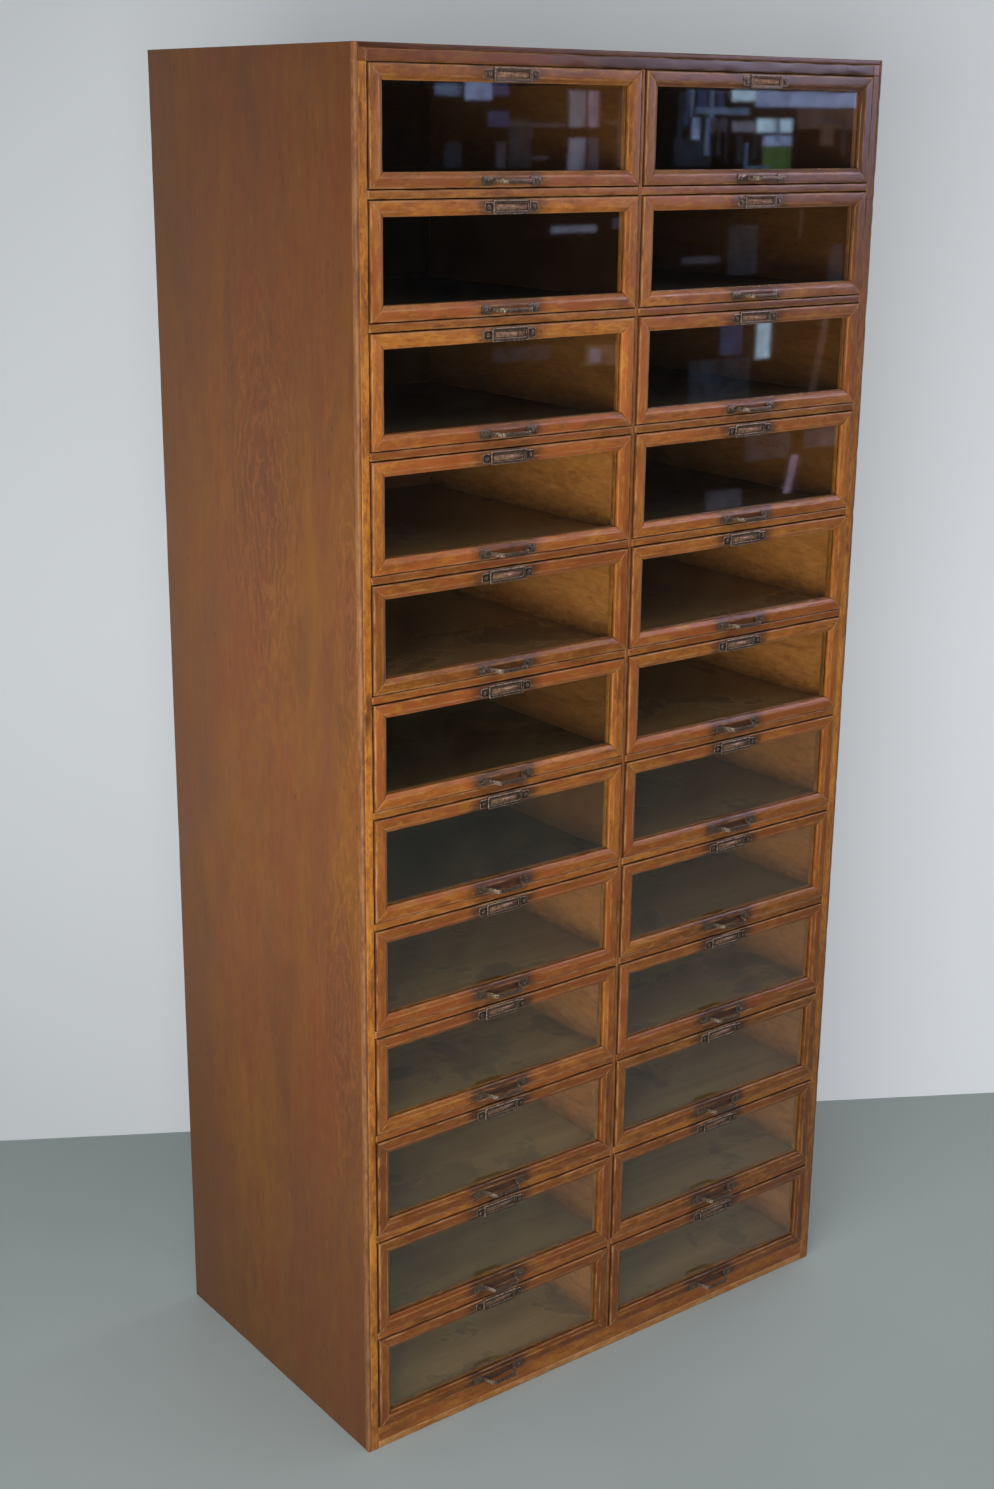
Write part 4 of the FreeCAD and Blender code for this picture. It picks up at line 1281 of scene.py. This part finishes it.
# Each step of a pressing, from the wood outwards: how far it lies inside an edge, the round of its
# corners, how far it stands out and how worn it is. Below zero it lies outside the edge.
PLATE_STEPS = (
    (0, 0.003, 0, 0), (0, 0.003, HOLDER_PLATE - PLATE_SOFT, 0.8),
    (PLATE_SOFT, 0.0026, HOLDER_PLATE, 0.8), (3 * PLATE_SOFT, 0.002, HOLDER_PLATE, 0),
)
RIM_STEPS = (
    (0, 0.0016, 0, 0), (0, 0.0016, RIM_RISE - 0.0014, 0.2),
    (0.0003, 0.0015, RIM_RISE - 0.0005, 0.9), (0.0008, 0.0013, RIM_RISE, 0.8),
    (0.0018, 0.0012, RIM_RISE, 0.05),
)
WINDOW_STEPS = (
    (-0.0011, 0.0010, RIM_RISE, 0.05), (-0.0003, 0.0008, RIM_RISE - 0.0003, 0.7),
    (0, 0.0006, RIM_RISE - 0.0010, 0), (0, 0.0006, HOLDER_PLATE + 0.0001, 0),
)
FLOOR_STEPS = (
    (FLOOR_INSET, 0.0006, HOLDER_PLATE - 0.0002, 0),
    (FLOOR_INSET, 0.0006, HOLDER_PLATE + 0.0003, 0.1),
)


def darkened_brass():
    """Brass gone brown, blotched darker, and rubbed bright along its edges."""
    finish, tree = blank_finish("darkened_brass")
    grain, tone, _, worn, _ = board_look(tree)
    blotches = mottled(tree, grain, (260, 260, 260), detail=4, roughness=0.6)
    rub = between(tree, mottled(tree, grain, (420, 420, 420), detail=3), 0.36, 0.62)
    colour = tinged(tree, BRASS_DARK, BRASS_BROWN, blotches, 0.36, 0.64)
    colour = lightened(tree, colour, tone)
    colour = blended(tree, times(tree, worn, rub), colour, BRASS_BRIGHT)
    gloss = between(tree, blotches, 0.3, 0.7, 0.34, 0.56)
    surface(tree, node(tree, "BsdfPrincipled", {
        "Base Color": colour, "Metallic": 0.6, "Roughness": gloss,
    }).outputs[0])
    return finish


def rounded_rectangle(width, height, radius, steps=4):
    """Points round a rectangle with rounded corners."""
    radius = min(radius, width / 2 - 1e-5, height / 2 - 1e-5)
    points = []
    for quarter, (x, z) in enumerate(((1, 1), (-1, 1), (-1, -1), (1, -1))):
        for step in range(steps + 1):
            turn = (quarter + step / steps) * math.pi / 2
            points.append((
                x * (width / 2 - radius) + radius * math.cos(turn),
                z * (height / 2 - radius) + radius * math.sin(turn),
            ))
    return points


def stepped(width, height, steps):
    """The steps of a pressing as loops, each with its own width and height."""
    return [(width - 2 * inside, height - 2 * inside, *rest) for inside, *rest in steps]


def pressed(piece, middle, shapes, tone=1.0):
    """Metal pressed forwards through a row of (width, height, radius, rise, worn) loops."""
    drift = own_grain()
    loops = []
    for width, height, radius, rise, worn in shapes:
        loop = []
        for x, z in rounded_rectangle(width, height, radius):
            place = Vector((middle[0] + x, middle[1] - rise, middle[2] + z))
            loop.append((place, place + drift, (tone, 0.0, worn), 0.0))
        loops.append(loop)
    piece.loops(loops)


brass = darkened_brass()
for name, row, low, high in drawer_places():
    holder = Workpiece(f"{name}_label_holder")
    centre = ((low.x + high.x) / 2, low.y, high.z - RIM_MARGIN - RIM_HEIGHT / 2)
    pressed(holder, centre, stepped(HOLDER_WIDTH, HOLDER_HEIGHT, PLATE_STEPS))
    rim = stepped(RIM_WIDTH, RIM_HEIGHT, RIM_STEPS)
    window = stepped(WINDOW_WIDTH, WINDOW_HEIGHT, WINDOW_STEPS)
    pressed(holder, centre, rim + window)
    pressed(
        holder, centre, stepped(WINDOW_WIDTH, WINDOW_HEIGHT, FLOOR_STEPS),
        tone=FLOOR_DUST_AND_SHEEN - LESS_SHEEN_A_ROW * row)
    holder.fit(name, "brass", [brass], f"{name}_glass_and_pull")


# Pulls ------------------------------------------------------------------------------------------
# One strip of the same brass, bent outwards into a bow between two flat feet. Fingers have rubbed
# the outer folds of the bow bright, and a painted highlight lies on them too.

PULL_WIDTH, PULL_FOOT, PULL_FOOT_HEIGHT, PULL_FOOT_PLATE = 0.098, 0.020, 0.013, 0.0012
PULL_LIFT = 0.0022
PULL_REACH, PULL_BAR = 0.022, 0.048
PULL_STRIP, PULL_STRIP_HEIGHT = 0.002, 0.006
FOOT_ROUND, FOLD_ROUND = 0.003, 0.004
FOLD_STEPS = 5
FLAT_END, NARROWING_START, NARROWING = 0.005, 0.0005, 0.004
STRIP_ARRIS, STRIP_EDGE, FOOT_END_HEIGHT = 0.0005, 0.0007, 0.004
FOLD_SPREAD = 0.003
# How bright wear makes each part; the folds also carry a painted highlight.
RUBBED, EDGE_RUBBED, FOOT_RUBBED, FOLD_RUBBED_AND_LIT = 0.03, 0.12, 0.08, 0.85


def folded(corners):
    """A path through corners, with each inner corner rounded off."""
    path = [Vector(corners[0])]
    for before, here, after in zip(corners, corners[1:], corners[2:]):
        here = Vector(here)
        back, on = Vector(before) - here, Vector(after) - here
        reach = min(FOLD_ROUND, MOST_OF_A_FACE * back.length, MOST_OF_A_FACE * on.length)
        back.normalize()
        on.normalize()
        for step in range(FOLD_STEPS + 1):
            s = step / FOLD_STEPS
            path.append(here + back * reach * (1 - s) ** 2 + on * reach * s ** 2)
    path.append(Vector(corners[-1]))
    return path


def strip_bow(piece, middle):
    """The bent strip: wide, thin feet that narrow into a thicker bow."""
    half, root, bar = PULL_WIDTH / 2, PULL_WIDTH / 2 - PULL_FOOT, PULL_BAR / 2
    on_wood, at_front = PULL_FOOT_PLATE / 2, PULL_REACH - PULL_STRIP / 2
    right_half = [
        (half, on_wood), (root, on_wood), (bar - PULL_STRIP / 2, at_front), (0, at_front),
    ]
    path = folded(right_half)
    ease_in = [
        Vector((half - FOOT_ROUND * (1 - math.cos(turn)), on_wood))
        for turn in (math.pi / 2 * n / 4 for n in range(1, 5))
    ]
    path = [path[0]] + ease_in + [Vector((root + FLAT_END, on_wood))] + path[1:]
    path += [Vector((-spot.x, spot.y)) for spot in reversed(path[:-1])]
    drift = own_grain()
    loops = []
    for number, spot in enumerate(path):
        before, after = path[max(number - 1, 0)], path[min(number + 1, len(path) - 1)]
        along = (after - before).normalized()
        out = Vector((along.y, -along.x))
        from_end = half - abs(spot.x)
        on_foot = max(0.0, min(1.0, (abs(spot.x) - root - NARROWING_START) / NARROWING))
        on_foot = on_foot * on_foot * (3 - 2 * on_foot)
        thick = PULL_STRIP + (PULL_FOOT_PLATE - PULL_STRIP) * on_foot
        tall = PULL_STRIP_HEIGHT + (PULL_FOOT_HEIGHT - PULL_STRIP_HEIGHT) * on_foot
        if from_end < FOOT_ROUND:
            short = FOOT_ROUND - from_end
            tall -= 2 * (FOOT_ROUND - math.sqrt(max(FOOT_ROUND ** 2 - short ** 2, 0.0)))
        loop = []
        at_fold = math.exp(-((abs(spot.x) - bar) / FOLD_SPREAD) ** 2)
        tall = max(tall, FOOT_END_HEIGHT)
        for across, up in rounded_rectangle(thick, tall, STRIP_ARRIS, steps=2):
            place = Vector((
                middle[0] + spot.x + out.x * across, middle[1] - spot.y - out.y * across,
                middle[2] + up,
            ))
            on_edge = abs(up) > tall / 2 - STRIP_EDGE
            worn = RUBBED + EDGE_RUBBED * on_edge + FOOT_RUBBED * on_foot + FOLD_RUBBED_AND_LIT * at_fold
            loop.append((place, place + drift, (1.0, 0.0, min(worn, 1.0)), 0.0))
        loops.append(loop)
    piece.loops(loops)


pull_middle = PULL_LIFT + PULL_FOOT_HEIGHT / 2
for name, row, low, high in drawer_places():
    pull = Workpiece(f"{name}_pull")
    foot = high.z - FRONT_HEIGHT
    strip_bow(pull, ((low.x + high.x) / 2, low.y, foot + pull_middle))
    pull.fit(name, "brass", [brass], f"{name}_glass_and_pull")


# Screws -----------------------------------------------------------------------------------------
# Round-headed slotted wood screws, two through each label holder and two through each pull. Every
# slot points its own way, as the driver left it.

SCREW_HEAD, SCREW_RISE, SCREW_SHANK, SCREW_LENGTH = 0.0064, 0.0013, 0.003, 0.012
SLOT_HALF, SLOT_DEPTH = 0.00045, 0.0008
HEAD_LINES, HEAD_ROWS, SHANK_SIDES = (-0.999, -0.92, -0.75, -0.5), 8, 10
HEAD_DOME, HEAD_WORN, SLOT_FLOOR = 0.92, 0.45, 0.0003
SHANK_TAPER = ((0.5, 0.0), (0.5, 0.6), (0.12, 1.0))
HOLDER_SCREWS, PULL_SCREWS = 0.076, 0.082


def slotted_screw(piece, middle):
    """A domed head built in strips across its slot, on a tapered shank."""
    radius = SCREW_HEAD / 2
    turn = shop.uniform(0, math.pi)
    turned = Matrix.Rotation(turn, 2)
    drift = own_grain()
    lines = [*HEAD_LINES, -SLOT_HALF / radius - 0.02, -SLOT_HALF / radius]
    lines += [-line for line in reversed(lines)]
    grid = {}
    for i, line in enumerate(lines):
        half = math.sqrt(1 - line * line)
        in_slot = abs(line) <= SLOT_HALF / radius + 1e-6
        for j in range(HEAD_ROWS + 1):
            along = half * math.sin(math.pi / 2 * (2 * j / HEAD_ROWS - 1))
            dome = math.sqrt(max(0.0, 1 - HEAD_DOME * (line * line + along * along)))
            rise = SCREW_RISE * (0.25 + 0.75 * dome)
            if in_slot:
                rise = max(rise - SLOT_DEPTH, SLOT_FLOOR)
            flat = turned @ Vector((line * radius, along * radius))
            place = Vector((middle[0] + flat.x, middle[1] - rise, middle[2] + flat.y))
            worn = 0.0 if in_slot else HEAD_WORN * dome
            grid[i, j] = piece.point(place, place + drift, (1.0, 0.0, worn))
    last = len(lines) - 1
    for i in range(last):
        for j in range(HEAD_ROWS):
            piece.faces.append((grid[i, j], grid[i + 1, j], grid[i + 1, j + 1], grid[i, j + 1]))
    rim = [(i, 0) for i in range(last)] + [(last, j) for j in range(HEAD_ROWS)]
    rim += [(i, HEAD_ROWS) for i in range(last, 0, -1)]
    rim += [(0, j) for j in range(HEAD_ROWS, 0, -1)]
    seat = []
    for key in rim:
        top = piece.points[grid[key]]
        under = Vector((top.x, middle[1], top.z))
        seat.append(piece.point(under, piece.grain[grid[key]], (1.0, 0.0, 0.0)))
    count = len(rim)
    for n in range(count):
        m = (n + 1) % count
        piece.faces.append((grid[rim[m]], grid[rim[n]], seat[n], seat[m]))
    piece.faces.append(tuple(reversed(seat)))
    piece.skins += [0] * (len(piece.faces) - len(piece.skins))
    shank = []
    for share, depth in reversed(SHANK_TAPER):
        loop = []
        for n in range(SHANK_SIDES):
            turn = math.tau * n / SHANK_SIDES
            place = Vector((
                middle[0] + SCREW_SHANK * share * math.cos(turn),
                middle[1] + SCREW_LENGTH * depth,
                middle[2] + SCREW_SHANK * share * math.sin(turn),
            ))
            loop.append((place, Vector((0, 0, 0)), (1.0, 0.0, 0.0), 0.0))
        shank.append(loop)
    piece.loops(shank)


for name, row, low, high in drawer_places():
    screws = Workpiece(f"{name}_screws")
    middle = (low.x + high.x) / 2
    holder_z = high.z - RIM_MARGIN - RIM_HEIGHT / 2
    pull_z = high.z - FRONT_HEIGHT + pull_middle
    for sign in (-1, 1):
        slotted_screw(screws, (middle + sign * HOLDER_SCREWS / 2, low.y - HOLDER_PLATE, holder_z))
        slotted_screw(screws, (middle + sign * PULL_SCREWS / 2, low.y - PULL_FOOT_PLATE, pull_z))
    screws.fit(name, "brass", [brass], f"{name}_glass_and_pull")
